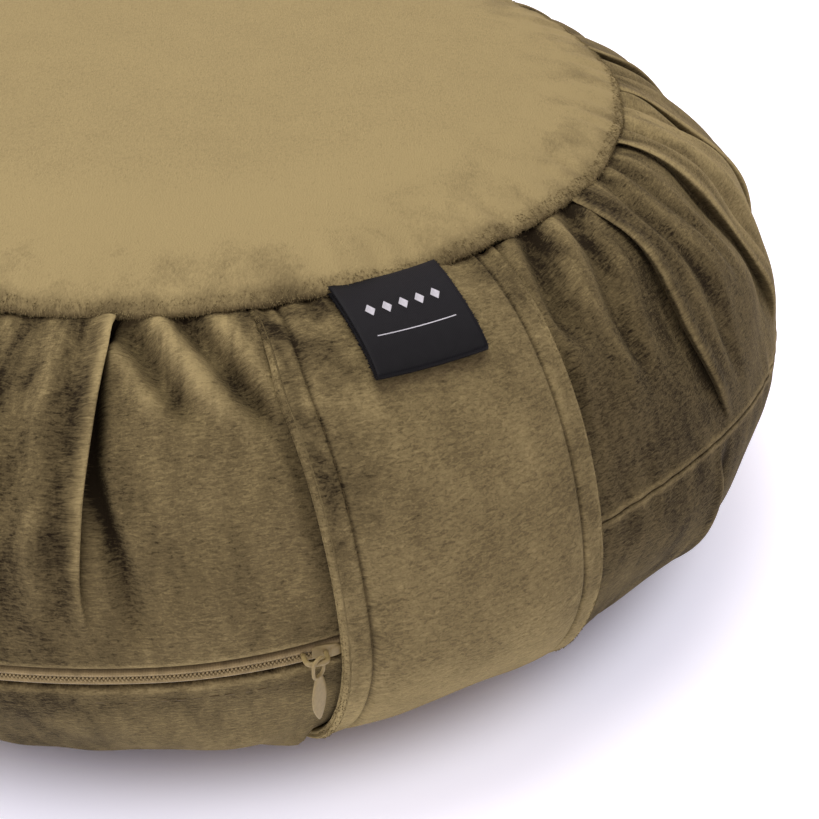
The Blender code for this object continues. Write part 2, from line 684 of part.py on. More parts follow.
def slider_place():
    """World matrix of the slider: X along the zip, Y up the wall and Z out of it."""
    path = float(join_path(np.array([SLIDER_AZIMUTH]))[0])
    normal_r, normal_z = (float(part) for part in wall_section(path)[2:])
    turn = math.radians(SLIDER_AZIMUTH)
    along = np.array((-math.sin(turn), math.cos(turn), 0.0))
    out = np.array((normal_r * math.cos(turn), normal_r * math.sin(turn), normal_z))
    place = np.eye(4)
    place[:3, 0] = along
    place[:3, 1] = np.cross(out, along)
    place[:3, 2] = out
    place[:3, 3] = wall_points(SLIDER_AZIMUTH, path, 0.0)
    return Matrix(place.tolist())


def slider_plate(finish, collection):
    """The slider's upper wing, a small plate with soft corners."""
    length, width, thickness = SLIDER_SIZE
    bpy.ops.mesh.primitive_cube_add(size=1.0)
    made = bpy.context.active_object
    made.name = "zip_slider"
    made.data.name = "zip_slider"
    for vert in made.data.vertices:
        vert.co = (vert.co.x * length, vert.co.y * width, GAP + (vert.co.z + 0.5) * thickness)
    made.data.materials.append(finish)
    for holder in list(made.users_collection):
        holder.objects.unlink(made)
    collection.objects.link(made)
    corners = made.modifiers.new("Soft corners", "BEVEL")
    corners.width = 0.35 * thickness
    corners.segments = 1
    return made


def slider_bridge(finish, cutters):
    """The arch over the plate that the pull hangs on, from inside the plate up and back down."""
    half = 0.5 * BRIDGE_LENGTH
    foot = GAP + 0.5 * SLIDER_SIZE[2]
    under = GAP + SLIDER_SIZE[2] + BRIDGE_CLEAR_HEIGHT
    top = under + BRIDGE_BAR
    corner = 0.5 * BRIDGE_BAR
    arch = [(-half, foot), (-half, top - corner), (-half + corner, top), (half - corner, top),
            (half, top - corner), (half, foot), (half - BRIDGE_BAR, foot),
            (half - BRIDGE_BAR, under), (-half + BRIDGE_BAR, under), (-half + BRIDGE_BAR, foot)]
    plate = flat_outline("slider_bridge", [arch], BRIDGE_WIDTH, cutters)
    bridge = mesh_from_curve(plate, "slider_bridge", finish, cutters)
    for vert in bridge.data.vertices:
        along, out, across = vert.co
        vert.co = (BRIDGE_CENTRE + along, -across, out)
    bridge.hide_render = True
    bridge.display_type = "WIRE"
    return bridge


def zip_slider(finish, collection, cutters):
    """The plate over the coil with its bridge, as one body at the zip's end."""
    made = slider_plate(finish, collection)
    bridge = slider_bridge(finish, cutters)
    joint = made.modifiers.new("Bridge", "BOOLEAN")
    joint.operation = "UNION"
    joint.solver = "EXACT"
    joint.object = bridge
    made.matrix_world = slider_place()
    bridge.matrix_world = made.matrix_world.copy()
    return made


def rounded_loop(half_x, half_y, turns):
    """Points of a rounded rectangle, a superellipse, at the given turns."""
    share = 2.0 / EYE_POWER
    across = np.sign(np.cos(turns)) * np.abs(np.cos(turns)) ** share
    up = np.sign(np.sin(turns)) * np.abs(np.sin(turns)) ** share
    return list(zip(half_x * across, half_y * up))


def zip_pull(finish, collection, cutters):
    """A flat teardrop with an eye, hanging by the eye from the slider's bridge."""
    hole_x, hole_y = PULL_EYE_HOLE
    eye_x = hole_x + PULL_EYE_WALL
    eye_y = hole_y + PULL_EYE_WALL
    neck_turn = math.acos(PULL_NECK_HALF_WIDTH / eye_x)
    eye = rounded_loop(eye_x, eye_y, np.linspace(-neck_turn, math.pi + neck_turn, 13))
    drop = np.linspace(0.0, 1.0, 9)[1:]
    swell = PULL_NECK_HALF_WIDTH + (PULL_HALF_WIDTH - PULL_NECK_HALF_WIDTH) * np.sin(math.pi * drop)
    taper = np.sqrt(np.clip(1.0 - drop ** 6, 0.0, 1.0))
    depth = -PULL_NECK_DROP - (PULL_LENGTH - PULL_NECK_DROP) * drop
    left = [(-w * t, y) for w, t, y in zip(swell, taper, depth)]
    right = [(w * t, y) for w, t, y in zip(swell, taper, depth)][-2::-1]
    neck = [(-PULL_NECK_HALF_WIDTH, -PULL_NECK_DROP), (PULL_NECK_HALF_WIDTH, -PULL_NECK_DROP)]
    outline = [*eye, neck[0], *left, *right, neck[1]]
    hole = rounded_loop(hole_x, hole_y, np.linspace(0.0, 2.0 * math.pi, 12, endpoint=False))
    plate = flat_outline("zip_pull_outline", [outline, hole], PULL_THICKNESS, cutters)
    made = mesh_from_curve(plate, "zip_pull", finish, collection)
    hang = BRIDGE_WIDTH / 2 + GAP - hole_y
    bar = GAP + SLIDER_SIZE[2] + BRIDGE_CLEAR_HEIGHT + BRIDGE_BAR / 2
    place = (Matrix.Translation((BRIDGE_CENTRE, hang, bar))
             @ Matrix.Rotation(math.radians(PULL_TILT), 4, "X")
             @ Matrix.Rotation(math.radians(PULL_TURN), 4, "Y"))
    made.matrix_world = slider_place() @ place
    return made


# ---------------------------------------------------------------- the cushion

def main():
    for old in list(bpy.data.objects):
        bpy.data.objects.remove(old)
    parts = own_collection(COLLECTION)
    cutters = own_collection(CUTTERS)

    velour = material("Olive_velour", (0.19, 0.14, 0.065), 0.95)
    velour_top = material("Olive_velour_top", (0.24, 0.185, 0.09), 0.95)
    black_weave = material("Black_woven_label", (0.012, 0.012, 0.013), 0.7)
    coil = material("Olive_nylon_coil", (0.16, 0.125, 0.06), 0.55)
    enamel = material("Olive_enamelled_zinc", (0.27, 0.21, 0.11), 0.4)

    filled_side_wall(velour, parts)
    top_panel(velour_top, parts)
    bottom_panel(velour, parts)
    handle_strap(velour, parts)
    label(black_weave, parts)
    zip_tape(coil, parts)
    zip_slider(enamel, parts, cutters)
    zip_pull(enamel, parts, cutters)


main()
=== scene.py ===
"""Dresses a zafu meditation cushion in velour, with its handle, label and zip.

Everything on the side wall is placed by two numbers, an azimuth round the cushion (degrees,
anticlockwise from +X) and a path length up the wall from the bottom seam (metres). Folds, seams and
pieces are then moved out along the wall's normal, or along the wall. All lengths are in metres and
all angles in degrees.
"""

import math

import bmesh
import bpy
import numpy as np
from mathutils import Matrix, Vector


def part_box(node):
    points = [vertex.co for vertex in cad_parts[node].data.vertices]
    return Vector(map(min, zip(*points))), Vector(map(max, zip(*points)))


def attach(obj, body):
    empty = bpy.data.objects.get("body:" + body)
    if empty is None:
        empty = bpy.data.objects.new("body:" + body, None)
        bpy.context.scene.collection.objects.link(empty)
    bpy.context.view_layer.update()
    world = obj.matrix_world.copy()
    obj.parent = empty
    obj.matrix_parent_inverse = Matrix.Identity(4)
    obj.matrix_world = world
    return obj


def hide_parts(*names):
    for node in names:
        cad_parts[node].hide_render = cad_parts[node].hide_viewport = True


bl_info = {
    "name": "Zafu cushion",
    "version": (1, 0, 0),
    "blender": (4, 5, 0),
    "location": "3D View > Sidebar > Zafu",
    "description": "Sews velour, handle, label and zip over the solids of a zafu cushion",
    "category": "Object",
}

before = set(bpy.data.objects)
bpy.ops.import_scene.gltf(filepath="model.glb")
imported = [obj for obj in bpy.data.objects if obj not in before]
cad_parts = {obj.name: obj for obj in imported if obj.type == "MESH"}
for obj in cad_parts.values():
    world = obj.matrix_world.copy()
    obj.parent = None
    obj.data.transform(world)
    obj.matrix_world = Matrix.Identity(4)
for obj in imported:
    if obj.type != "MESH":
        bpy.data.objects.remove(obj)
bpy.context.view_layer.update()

BODY = "root"
TOP_LOW, TOP_HIGH = (np.array(corner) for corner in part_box("top_panel"))
BASE_LOW, BASE_HIGH = (np.array(corner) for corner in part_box("bottom_panel"))
SEAM_TUCK = 0.002                 # how far the top panel's rim goes down into its seam
CAP_GAP = 0.0005                  # between that rim and the wall's first ring
GAP = 0.0003                      # between two pieces that lie against each other
PROFILE_SAMPLES = 1201

# Top panel
CROWN_SWELL = 0.0019              # how far its rim bulges over the seam
# Points of its rim inside the seam, off the seam's radius and height
CROWN_TUCK = ((-0.0004, -0.0012), (-0.0010, -0.0024), (-0.0030, -0.0030))

# The seam between the side bands, which the handle lifts a little on its right
JOIN_RISE = 0.0112
JOIN_PEAK = -46.0
JOIN_RISE_LEFT = 40.0
JOIN_RISE_RIGHT = 50.0
ZIP_START = -71.4                 # under the handle's left edge
ZIP_END = -182.0
ZIP_OPENING = 0.0026              # half the width that the lips leave open for the zip
SEWN_OPENING = 0.00006            # the same where there is no zip
ZIP_FADE = 1.2

# Handle
STRAP_AZIMUTH = -62.1
STRAP_TOP_AZIMUTH = -61.3
STRAP_STAND_OFF = 0.0022
STRAP_NECK = 0.0665               # its width in the seams
STRAP_NECK_LENGTH = 0.030
STRAP_FREE_LENGTH = 0.050         # from a seam to where the handle stands clear of the wall
STRAP_HOLD = (0.0006, 0.0034)     # beyond its edge the wall is flat, then free again
STRAP_SHADE = (0.0, 0.006)        # the same for the painted shade beside it
STRAP_SINK = (-0.0012, 0.0012)    # the same for the wall's dip under the handle's ends
STRAP_ARCH = 0.0019               # how far its edges are pulled down to the wall
STRAP_FLAT = 0.0046               # its lower part runs straight across: how far its middle lies in
STRAP_FLAT_REACH = 0.085          # from the bottom seam to where it follows the round wall again
STRAP_FLAT_FADE = (0.050, 0.020)  # over these lengths at its upper and its lower end
STRAP_EDGE = 0.0016               # radius of its rolled edges
STRAP_ENDS = (0.0045, 0.0022)     # two more rows run this far into each seam
STITCH_PITCH = 1.25               # from stitch to stitch, in stitches
STITCH_RADIUS = 0.00024
STITCH_MARGIN = 0.004             # from the seams to the first and the last stitch

# Label
LABEL_AZIMUTH = (-61.4, -62.3)    # at the seam and at the fold
LABEL_LIFT = 0.0004               # above the handle's plain outer face, for its swell
LABEL_BEND = 0.0007               # radius of the fold
LABEL_THICKNESS = 0.0006
LABEL_ALLOWANCE = 0.003           # sewn in at each end
MOTIF_SPOTS = np.array((-0.30, -0.15, 0.0, 0.15, 0.30))     # in label widths from its middle
MOTIF_QUARTER = (0.000648, 0.0009)  # of a lozenge's diagonals, across and down
MOTIF_LIFT = 0.00038              # over the label's outer leaf
MOTIF_DOWN = 0.0110
RULE_DOWN = 0.0185
RULE_HALF = (0.36, 0.00014)       # in label widths, and in metres

# Knife pleats: the fold's edge looks towards larger azimuths where "faces" is 1. "level" is the height
# where the fold has opened out, "fade" the height over which it does so, "lean" how far it drifts
# aside between its band's seams, and "mouth" how deep the cloth falls in under the edge, as a share
# of the depth; it also sets the strength of the painted shade in the mouth and behind the edge, and of
# the painted highlight on the edge.
PLEAT_COLUMNS = ("azimuth", "faces", "depth", "level", "fade", "lean", "mouth")
UPPER_PLEATS = (
    (-89.4, 1, 0.0070, 0.066, 0.028, -1.6, 0.58),
    (-32.0, -1, 0.0038, 0.068, 0.014, -1.4, 0.06),
    (-14.6, -1, 0.0040, 0.068, 0.016, -0.6, 0.14),
    (4.8, -1, 0.0042, 0.070, 0.024, -3.0, 0.20),
    (21.4, -1, 0.0038, 0.074, 0.022, 1.0, 0.25),
    (40.0, -1, 0.0045, 0.072, 0.020, 2.0, 0.25),
    (57.5, -1, 0.0036, 0.078, 0.026, -1.5, 0.25),
    (77.0, -1, 0.0048, 0.070, 0.020, 1.0, 0.25),
    (95.5, -1, 0.0040, 0.076, 0.022, -2.0, 0.25),
    (114.0, -1, 0.0044, 0.072, 0.024, 1.5, 0.25),
    (134.0, 1, 0.0040, 0.075, 0.020, -2.0, 0.25),
    (153.0, 1, 0.0050, 0.070, 0.022, 1.0, 0.25),
    (171.0, 1, 0.0038, 0.078, 0.024, -1.0, 0.25),
    (-170.0, 1, 0.0046, 0.072, 0.020, 2.0, 0.25),
    (-150.5, 1, 0.0040, 0.076, 0.022, -1.5, 0.25),
    (-131.0, 1, 0.0047, 0.072, 0.020, 1.0, 0.25),
    (-110.5, 1, 0.0036, 0.080, 0.024, -1.5, 0.25),
)
LOWER_PLEATS = (
    (-33.6, 1, 0.0032, 0.066, 0.014, -1.6, 0.30),
    (-7.5, 1, 0.0034, 0.050, 0.018, 1.0, 0.25),
    (9.5, 1, 0.0040, 0.052, 0.016, -1.0, 0.25),
    (27.0, 1, 0.0034, 0.048, 0.018, 1.5, 0.25),
    (45.0, 1, 0.0040, 0.052, 0.016, -1.0, 0.25),
    (62.5, 1, 0.0036, 0.048, 0.018, 1.0, 0.25),
    (81.5, 1, 0.0042, 0.052, 0.016, -1.5, 0.25),
    (100.0, 1, 0.0034, 0.050, 0.018, 1.0, 0.25),
    (119.0, 1, 0.0040, 0.050, 0.018, -1.0, 0.25),
    (138.5, 1, 0.0036, 0.046, 0.016, 1.0, 0.25),
    (157.5, 1, 0.0040, 0.048, 0.018, -1.0, 0.25),
    (175.5, 1, 0.0034, 0.046, 0.016, 1.0, 0.25),
    (-165.2, 1, 0.0038, 0.046, 0.018, -1.0, 0.25),
    (-145.5, 1, 0.0034, 0.044, 0.018, 1.0, 0.25),
    (-126.8, 1, 0.0030, 0.044, 0.018, -1.0, 0.25),
    (-105.0, 1, 0.0022, 0.038, 0.018, 1.0, 0.25),
)
PLEAT_TOP_SHARE = 0.4             # of a pleat's depth rises over the plain wall, the rest falls in
PLEAT_TOP_REACH = 0.013           # how far the rise runs back from the edge
PLEAT_HOLLOW_REACH = 0.006        # and the hollow in front of it
SEAM_SHARE = 0.35                 # of a pleat's depth at its seam, the rest within SEAM_EASE
SEAM_EASE = 0.012
TUCK_WIDTH = 0.0021               # half the cloth that a pleat doubles back
TUCK_GAIN = 2.9                   # over 1 the cloth overlaps itself
TUCK_BEAD = 0.0008                # the rolled edge of a pleat
MOUTH_OPENS = 0.036               # from the seam to where the cloth gapes fully under an edge
SWEEP_START = 0.018               # from there a deep mouth of the upper band swings off its edge
SWEEP_LENGTH = 0.026
SWEEP_DRIFT = 0.011               # for a mouth of 1, by this much
SWEEP_WIDENS = 0.0018
PUFF = 0.0022                     # how far the filling swells the cloth between two pleats
HOLD = 0.007                      # the seams hold folds flat over this much of a band
SHADE_LIMIT = 1.20                # painted shade gets no darker than this, save the painted shade in a pleat's mouth

# Soft gathers: valleys that start at the top seam, run out on the wall and drift to "low_azimuth" by
# "level", the more of it early on the larger "bend" is
GATHER_COLUMNS = ("azimuth", "low_azimuth", "bend", "level", "depth", "half_width")
GATHERS = (
    (-99.5, -99.8, 1, 0.066, 0.0018, 0.0050),
    (-95.6, -96.4, 1, 0.064, 0.0020, 0.0046),
    (-91.9, -92.3, 1, 0.064, 0.0026, 0.0034),
    (-88.3, -81.4, 1, 0.107, 0.0046, 0.0034),
    (-82.2, -74.7, 1, 0.104, 0.0050, 0.0034),
    (-41.4, -46.5, 2, 0.104, 0.0046, 0.0044),
    (-34.4, -41.5, 2, 0.088, 0.0024, 0.0034),
    (-24.6, -28.6, 4, 0.070, 0.0016, 0.0028),
    (-20.0, -22.6, 3, 0.092, 0.0017, 0.0030),
    (-8.6, -10.4, 2, 0.074, 0.0022, 0.0034),
    (0.8, -1.4, 2, 0.078, 0.0024, 0.0036),
    (13.5, 14.0, 1, 0.080, 0.0022, 0.0042),
    (31.0, 33.0, 1, 0.084, 0.0022, 0.0045),
    (49.0, 48.0, 1, 0.092, 0.0018, 0.0045),
    (67.0, 69.0, 1, 0.086, 0.0024, 0.0050),
    (86.0, 84.0, 1, 0.090, 0.0020, 0.0045),
    (105.0, 107.0, 1, 0.088, 0.0022, 0.0045),
    (124.0, 124.0, 1, 0.080, 0.0026, 0.0055),
    (144.0, 142.0, 1, 0.090, 0.0020, 0.0045),
    (162.0, 164.0, 1, 0.088, 0.0022, 0.0045),
    (-179.0, -177.0, 1, 0.092, 0.0018, 0.0045),
    (-160.0, -162.0, 1, 0.086, 0.0024, 0.0050),
    (-141.0, -139.0, 1, 0.090, 0.0020, 0.0045),
    (-121.0, -123.0, 1, 0.088, 0.0022, 0.0045),
)
GATHER_SEAM_SHARE = 0.25          # of a gather's depth at the seam, the rest within GATHER_EASE
GATHER_EASE = 0.007
GATHER_OVERRUN = 1.4              # a straight gather runs on past its level, to this many times its length

# Painted shade and painted highlight round the bands, by azimuth: darker where the brushed pile
# looks away from the window, lighter where it leans to it
PILE_SHADE_COLUMNS = ("azimuth", "spread", "shade")
PAINTED_PILE_SHADES = (
    (-98.5, 8.5, 1.15),
    (-36.0, 16.0, 1.30),
    (-4.0, 9.0, -1.05),
    (58.0, 18.0, 0.35),
    (118.0, 24.0, -0.30),
    (178.0, 20.0, 0.35),
    (-128.0, 22.0, -0.25),
)

# Uneven filling: places where a band stands further out or in, "at" and "tall" as shares of its height
UNEVEN_COLUMNS = ("azimuth", "spread", "at", "tall", "out")
UPPER_UNEVEN = (
    (17.0, 20.0, 0.74, 0.34, -0.0042),
)
LOWER_UNEVEN = (
    (-36.0, 14.0, 0.50, 0.36, 0.0019),
    (-46.0, 7.0, 0.40, 0.36, -0.0016),
)

# Slow swells of both bands: how far out, degrees that they drift on their way up, the fewest and the
# most waves round the cushion, and the seed of their draw
SWELLS = ((0.0009, 40.0, 6, 16, 3), (0.0004, -25.0, 20, 44, 4))

# Zip hardware, in the slider's axes: along the zip, up the wall, out of it
TAPE_THICKNESS = 0.0006
TAPE_STEP = 0.0012
# Half the tape's section: distance from the slit, and height over the wall
TAPE_RIGHT = np.array((0.0, 0.14, 0.5, 1.0, 1.4, 1.8, 1.95, 2.3, 3.6, 5.1)) * 0.001
TAPE_RISE = np.array((-1.5, -1.3, -0.9, -0.55, -0.6, -0.9, -2.2, -3.3, -3.5, -3.6)) * 0.001
COIL_RADIUS = 0.00028
COIL_ENDS = (0.00010, 0.00075)    # a turn of the coil runs from and to there, off the slit's middle
COIL_RISE = (-0.00076, -0.00084)  # at these heights
COIL_SLANT = 0.35                 # in pitches
ZIP_ROW_END = -76.0               # the topstitches under the zip stop there, short of the slider
ZIP_ROW_DROP = 0.0072
ZIP_ROW_PITCH = 1.3               # in stitches
ZIP_ROW_RADIUS = 0.00020
ZIP_ROW_SINK = 0.00015
SLIDER_AZIMUTH = -74.35
SLIDER_HALF = (0.0034, 0.0018, 0.0005)
SLIDER_SHIFT = 0.0012             # of its plate's middle along the zip
SLIDER_SINK = 0.0011              # how deep its plate lies between the lips
NOSE_HALF = (0.0016, 0.0014, 0.0007)
NOSE_SHIFT = 0.0034
BRIDGE_CENTRE = -0.0016
BRIDGE_HALF_LENGTH = 0.0026
BRIDGE_HEIGHT = 0.0035            # of the bridge bar's middle over the wall
BRIDGE_RADIUS = 0.00062
BRIDGE_CORNER = 0.45              # 1 makes the bridge an ellipse, 0 a rectangle
EYE_HALF = (0.0018, 0.0026)
EYE_RADIUS = 0.00042
EYE_CORNER = 2.0 / 3.2
EYE_DROP = 0.0007                 # of its bar under the bridge's, beyond GAP
PULL_LENGTH = 0.0165
PULL_HALF_WIDTH = 0.0025
PULL_NECK_HALF_WIDTH = 0.0010
PULL_HALF_THICKNESS = 0.00042
PULL_TURN = 38.0
PULL_TILT = 7.0

# Tufts: a few strands of pile that cling together
TUFT_RADIUS = 0.00010
TUFT_DRAWN = 0.0005               # their size in the pattern, which is coarse enough to show
TUFT_ROOT = 0.0002                # how deep one starts in the cloth
TUFT_SPREAD = 0.38                # its slant's standard deviation, against its length
TUFT_CENTRE = (0.0, 0.0, 0.06)    # tufts point away from here
CROWN_TUFTS = 11000
STRAP_TUFTS = 1600                # along each edge

# Fineness of the meshes
BAND_COLUMNS = {"upper_band": 1000, "lower_band": 820}
BAND_MIDDLE_ROWS = {"upper_band": 58, "lower_band": 34}
EDGE_ROWS = np.array((0.0, 0.15, 0.4, 0.8, 1.3, 1.9, 2.7, 3.7, 5.0, 6.4)) * 0.001
TURNED_IN_ROWS = np.array((0.5, 1.2, 2.2, 3.6, 5.4)) * 0.001
LINING_DEPTH = 0.0072
LINING_ROWS = 9
LIP_RADIUS = 0.0018
SEAM_LIP_RADIUS = 0.0011
JOIN_LIP_RADIUS = 0.0005

WAVE_LENGTH = 0.314               # of Blender's wave texture at a scale of 1

# Velour in its six places: size of the crushed patches round and up the cloth, their strength on
# smooth and on crushed cloth, size of the streaks, how pale it is, strength of streaks and tufts.
# How pale it is also paints light and shade on one cloth: a painted highlight makes the crown pale,
# painted shade makes the bands, the handle and the base darker
VELOURS = {
    "Sheared_velour_crown": ((0.018, 0.018), (0.14, 0.95), (0.0007, 0.0014), 0.91, 0.60),
    "Loose_velour_tufts_crown": ((0.018, 0.018), (0.10, 0.10), (0.0007, 0.0014), 0.86, 0.35),
    "Sheared_velour_base": ((0.020, 0.020), (0.40, 0.80), (0.0028, 0.0008), 0.45, 0.90),
    "Sheared_velour_band": ((0.007, 0.019), (0.38, 0.66), (0.0019, 0.0006), 0.52, 1.00),
    "Sheared_velour_handle": ((0.014, 0.018), (0.40, 1.00), (0.0017, 0.0007), 0.625, 1.00),
    "Loose_velour_tufts_handle": ((0.014, 0.018), (0.10, 0.10), (0.0022, 0.0005), 0.66, 0.35),
}

# Camera, fitted to the photograph's frame
CAMERA_PLACE = (0.0689, -0.4342, 0.2964)
CAMERA_PITCH = 56.6
CAMERA_LENS = 67.7

# Stage: soft lamps by place, aim, size, power and colour
LAMPS = {
    "key_softbox": ((-0.15, 0.12, 1.60), (0.0, 0.0, 0.05), 1.2, 16.6, "#FFFDF6"),
    "left_softbox": ((-1.30, -0.60, 0.70), (0.0, 0.0, 0.06), 0.7, 4.0, "#FFFFFF"),
}
ROOM_COLOUR = "#FAEDFD"
ROOM_LIGHT = (1.08, 0.50)         # of the white walls at the left and of the darker room at the right
TABLE_HALF = 6.0
TABLE_GLOW = 0.50
TABLE_SHADOW_RADII = (0.146, 0.176)       # the table glows from there out, fading in between: a painted contact shadow round the cushion


# ---------------------------------------------------------------- settings

class ZafuSizes(bpy.types.PropertyGroup):
    """Sizes of the cushion's parts."""
    widest_radius: bpy.props.FloatProperty(
        name="Widest radius", description="Radius at the widest level", default=0.1825, unit="LENGTH")
    widest_height: bpy.props.FloatProperty(
        name="Widest level", description="Height of that level", default=0.0578, unit="LENGTH")
    join_height: bpy.props.FloatProperty(
        name="Band seam", description="Height of the seam between the two bands", default=0.0582,
        unit="LENGTH")
    shoulder_power: bpy.props.FloatProperty(
        name="Shoulder power", description="2 makes the wall an ellipse", default=1.716)
    crown_power: bpy.props.FloatProperty(
        name="Crown power", description="How late the crown rolls down to its rim", default=5.0)
    cloth: bpy.props.FloatProperty(
        name="Cloth", description="Thickness of two layers of velour", default=0.003, unit="LENGTH")
    strap_width: bpy.props.FloatProperty(
        name="Handle width", description="Width of the handle", default=0.070, unit="LENGTH")
    strap_stitch_inset: bpy.props.FloatProperty(
        name="Handle stitch inset", description="From the handle's edge to its topstitching",
        default=0.0068, unit="LENGTH")
    stitch_length: bpy.props.FloatProperty(
        name="Stitch", description="Length of one topstitch", default=0.0028, unit="LENGTH")
    label_width: bpy.props.FloatProperty(
        name="Label width", description="Width of the label", default=0.0285, unit="LENGTH")
    label_length: bpy.props.FloatProperty(
        name="Label length", description="From the seam to the label's fold", default=0.028,
        unit="LENGTH")
    zip_pitch: bpy.props.FloatProperty(
        name="Zip pitch", description="Distance between two turns of the coil", default=0.00092,
        unit="LENGTH")


class ZafuColours(bpy.types.PropertyGroup):
    """Colours as seen under a plain white light."""
    # The three velour colours are stops of one ramp: painted shade and crushed patches move the cloth
    # towards the first, painted highlights and brushed patches towards the last
    velour_deep: bpy.props.StringProperty(
        name="Velour, crushed", description="Pile that looks away", default="#211A0D")
    velour: bpy.props.StringProperty(
        name="Velour", description="Pile that stands up", default="#685C3D")
    velour_pale: bpy.props.StringProperty(
        name="Velour, brushed", description="Pile that leans to the light", default="#96875C")
    thread: bpy.props.StringProperty(
        name="Thread", description="Topstitching of the handle and beside the zip", default="#574A2D")
    label_black: bpy.props.StringProperty(
        name="Label", description="Satin ground of the label", default="#0B0B0C")
    thread_white: bpy.props.StringProperty(
        name="Label motif", description="Woven motif of the label", default="#B9B9BB")
    zip_enamel: bpy.props.StringProperty(
        name="Zip enamel", description="Paint on the slider and the pull", default="#8B7B50")
    zip_coil: bpy.props.StringProperty(
        name="Zip coil", description="Dyed coil and tape", default="#8A7A54")
    floor: bpy.props.StringProperty(
        name="Table", description="Acrylic table under the cushion", default="#F7F5F8")
    table_glow: bpy.props.StringProperty(
        # The glow's colour; the glow fades out towards the cushion, a painted contact shadow
        name="Table glow", description="Light that comes up through the table", default="#EEF2FF")


# ---------------------------------------------------------------- small numbers

def fold_table(rows, columns):
    """A short table of folds with named columns."""
    return np.array(list(rows), dtype=[(name, float) for name in columns])


UPPER = fold_table(UPPER_PLEATS, PLEAT_COLUMNS)
LOWER = fold_table(LOWER_PLEATS, PLEAT_COLUMNS)
GATHER = fold_table(GATHERS, GATHER_COLUMNS)
PAINTED_PILE_SHADE = fold_table(PAINTED_PILE_SHADES, PILE_SHADE_COLUMNS)
UPPER_FILLING = fold_table(UPPER_UNEVEN, UNEVEN_COLUMNS)
LOWER_FILLING = fold_table(LOWER_UNEVEN, UNEVEN_COLUMNS)


def ease(x):
    """0 below 0, 1 above 1 and smooth between."""
    x = np.clip(x, 0.0, 1.0)
    return x * x * (3.0 - 2.0 * x)


def bell(x):
    """1 at 0, fading out on both sides within 2 or so."""
    return np.exp(-np.square(x))


def signed_power(x, power):
    """A power that keeps its sign: turns a circle's sine and cosine into a rounded rectangle's."""
    return np.sign(x) * np.abs(x) ** power


def unit(vectors):
    """Vectors at length 1."""
    return vectors / np.linalg.norm(vectors, axis=-1, keepdims=True)


def full_turn(count):
    """Angles in radians of so many points round a circle."""
    return np.linspace(0.0, 2.0 * math.pi, count, endpoint=False)


def turn_between(azimuth, reference):
    """Degrees from one azimuth to another, the short way round."""
    return (azimuth - reference + 180.0) % 360.0 - 180.0


def ripple(azimuth, fewest, most, seed, waves=9):
    """Uneven waves round the cushion: a sum of sines of whole wave numbers, from -1 to 1 or so."""
    rng = np.random.default_rng(seed)
    number = rng.integers(fewest, most + 1, waves)
    phase = rng.uniform(0.0, 2.0 * math.pi, waves)
    turn = np.radians(azimuth)[..., None]
    return np.sin(turn * number + phase).sum(-1) / math.sqrt(waves)


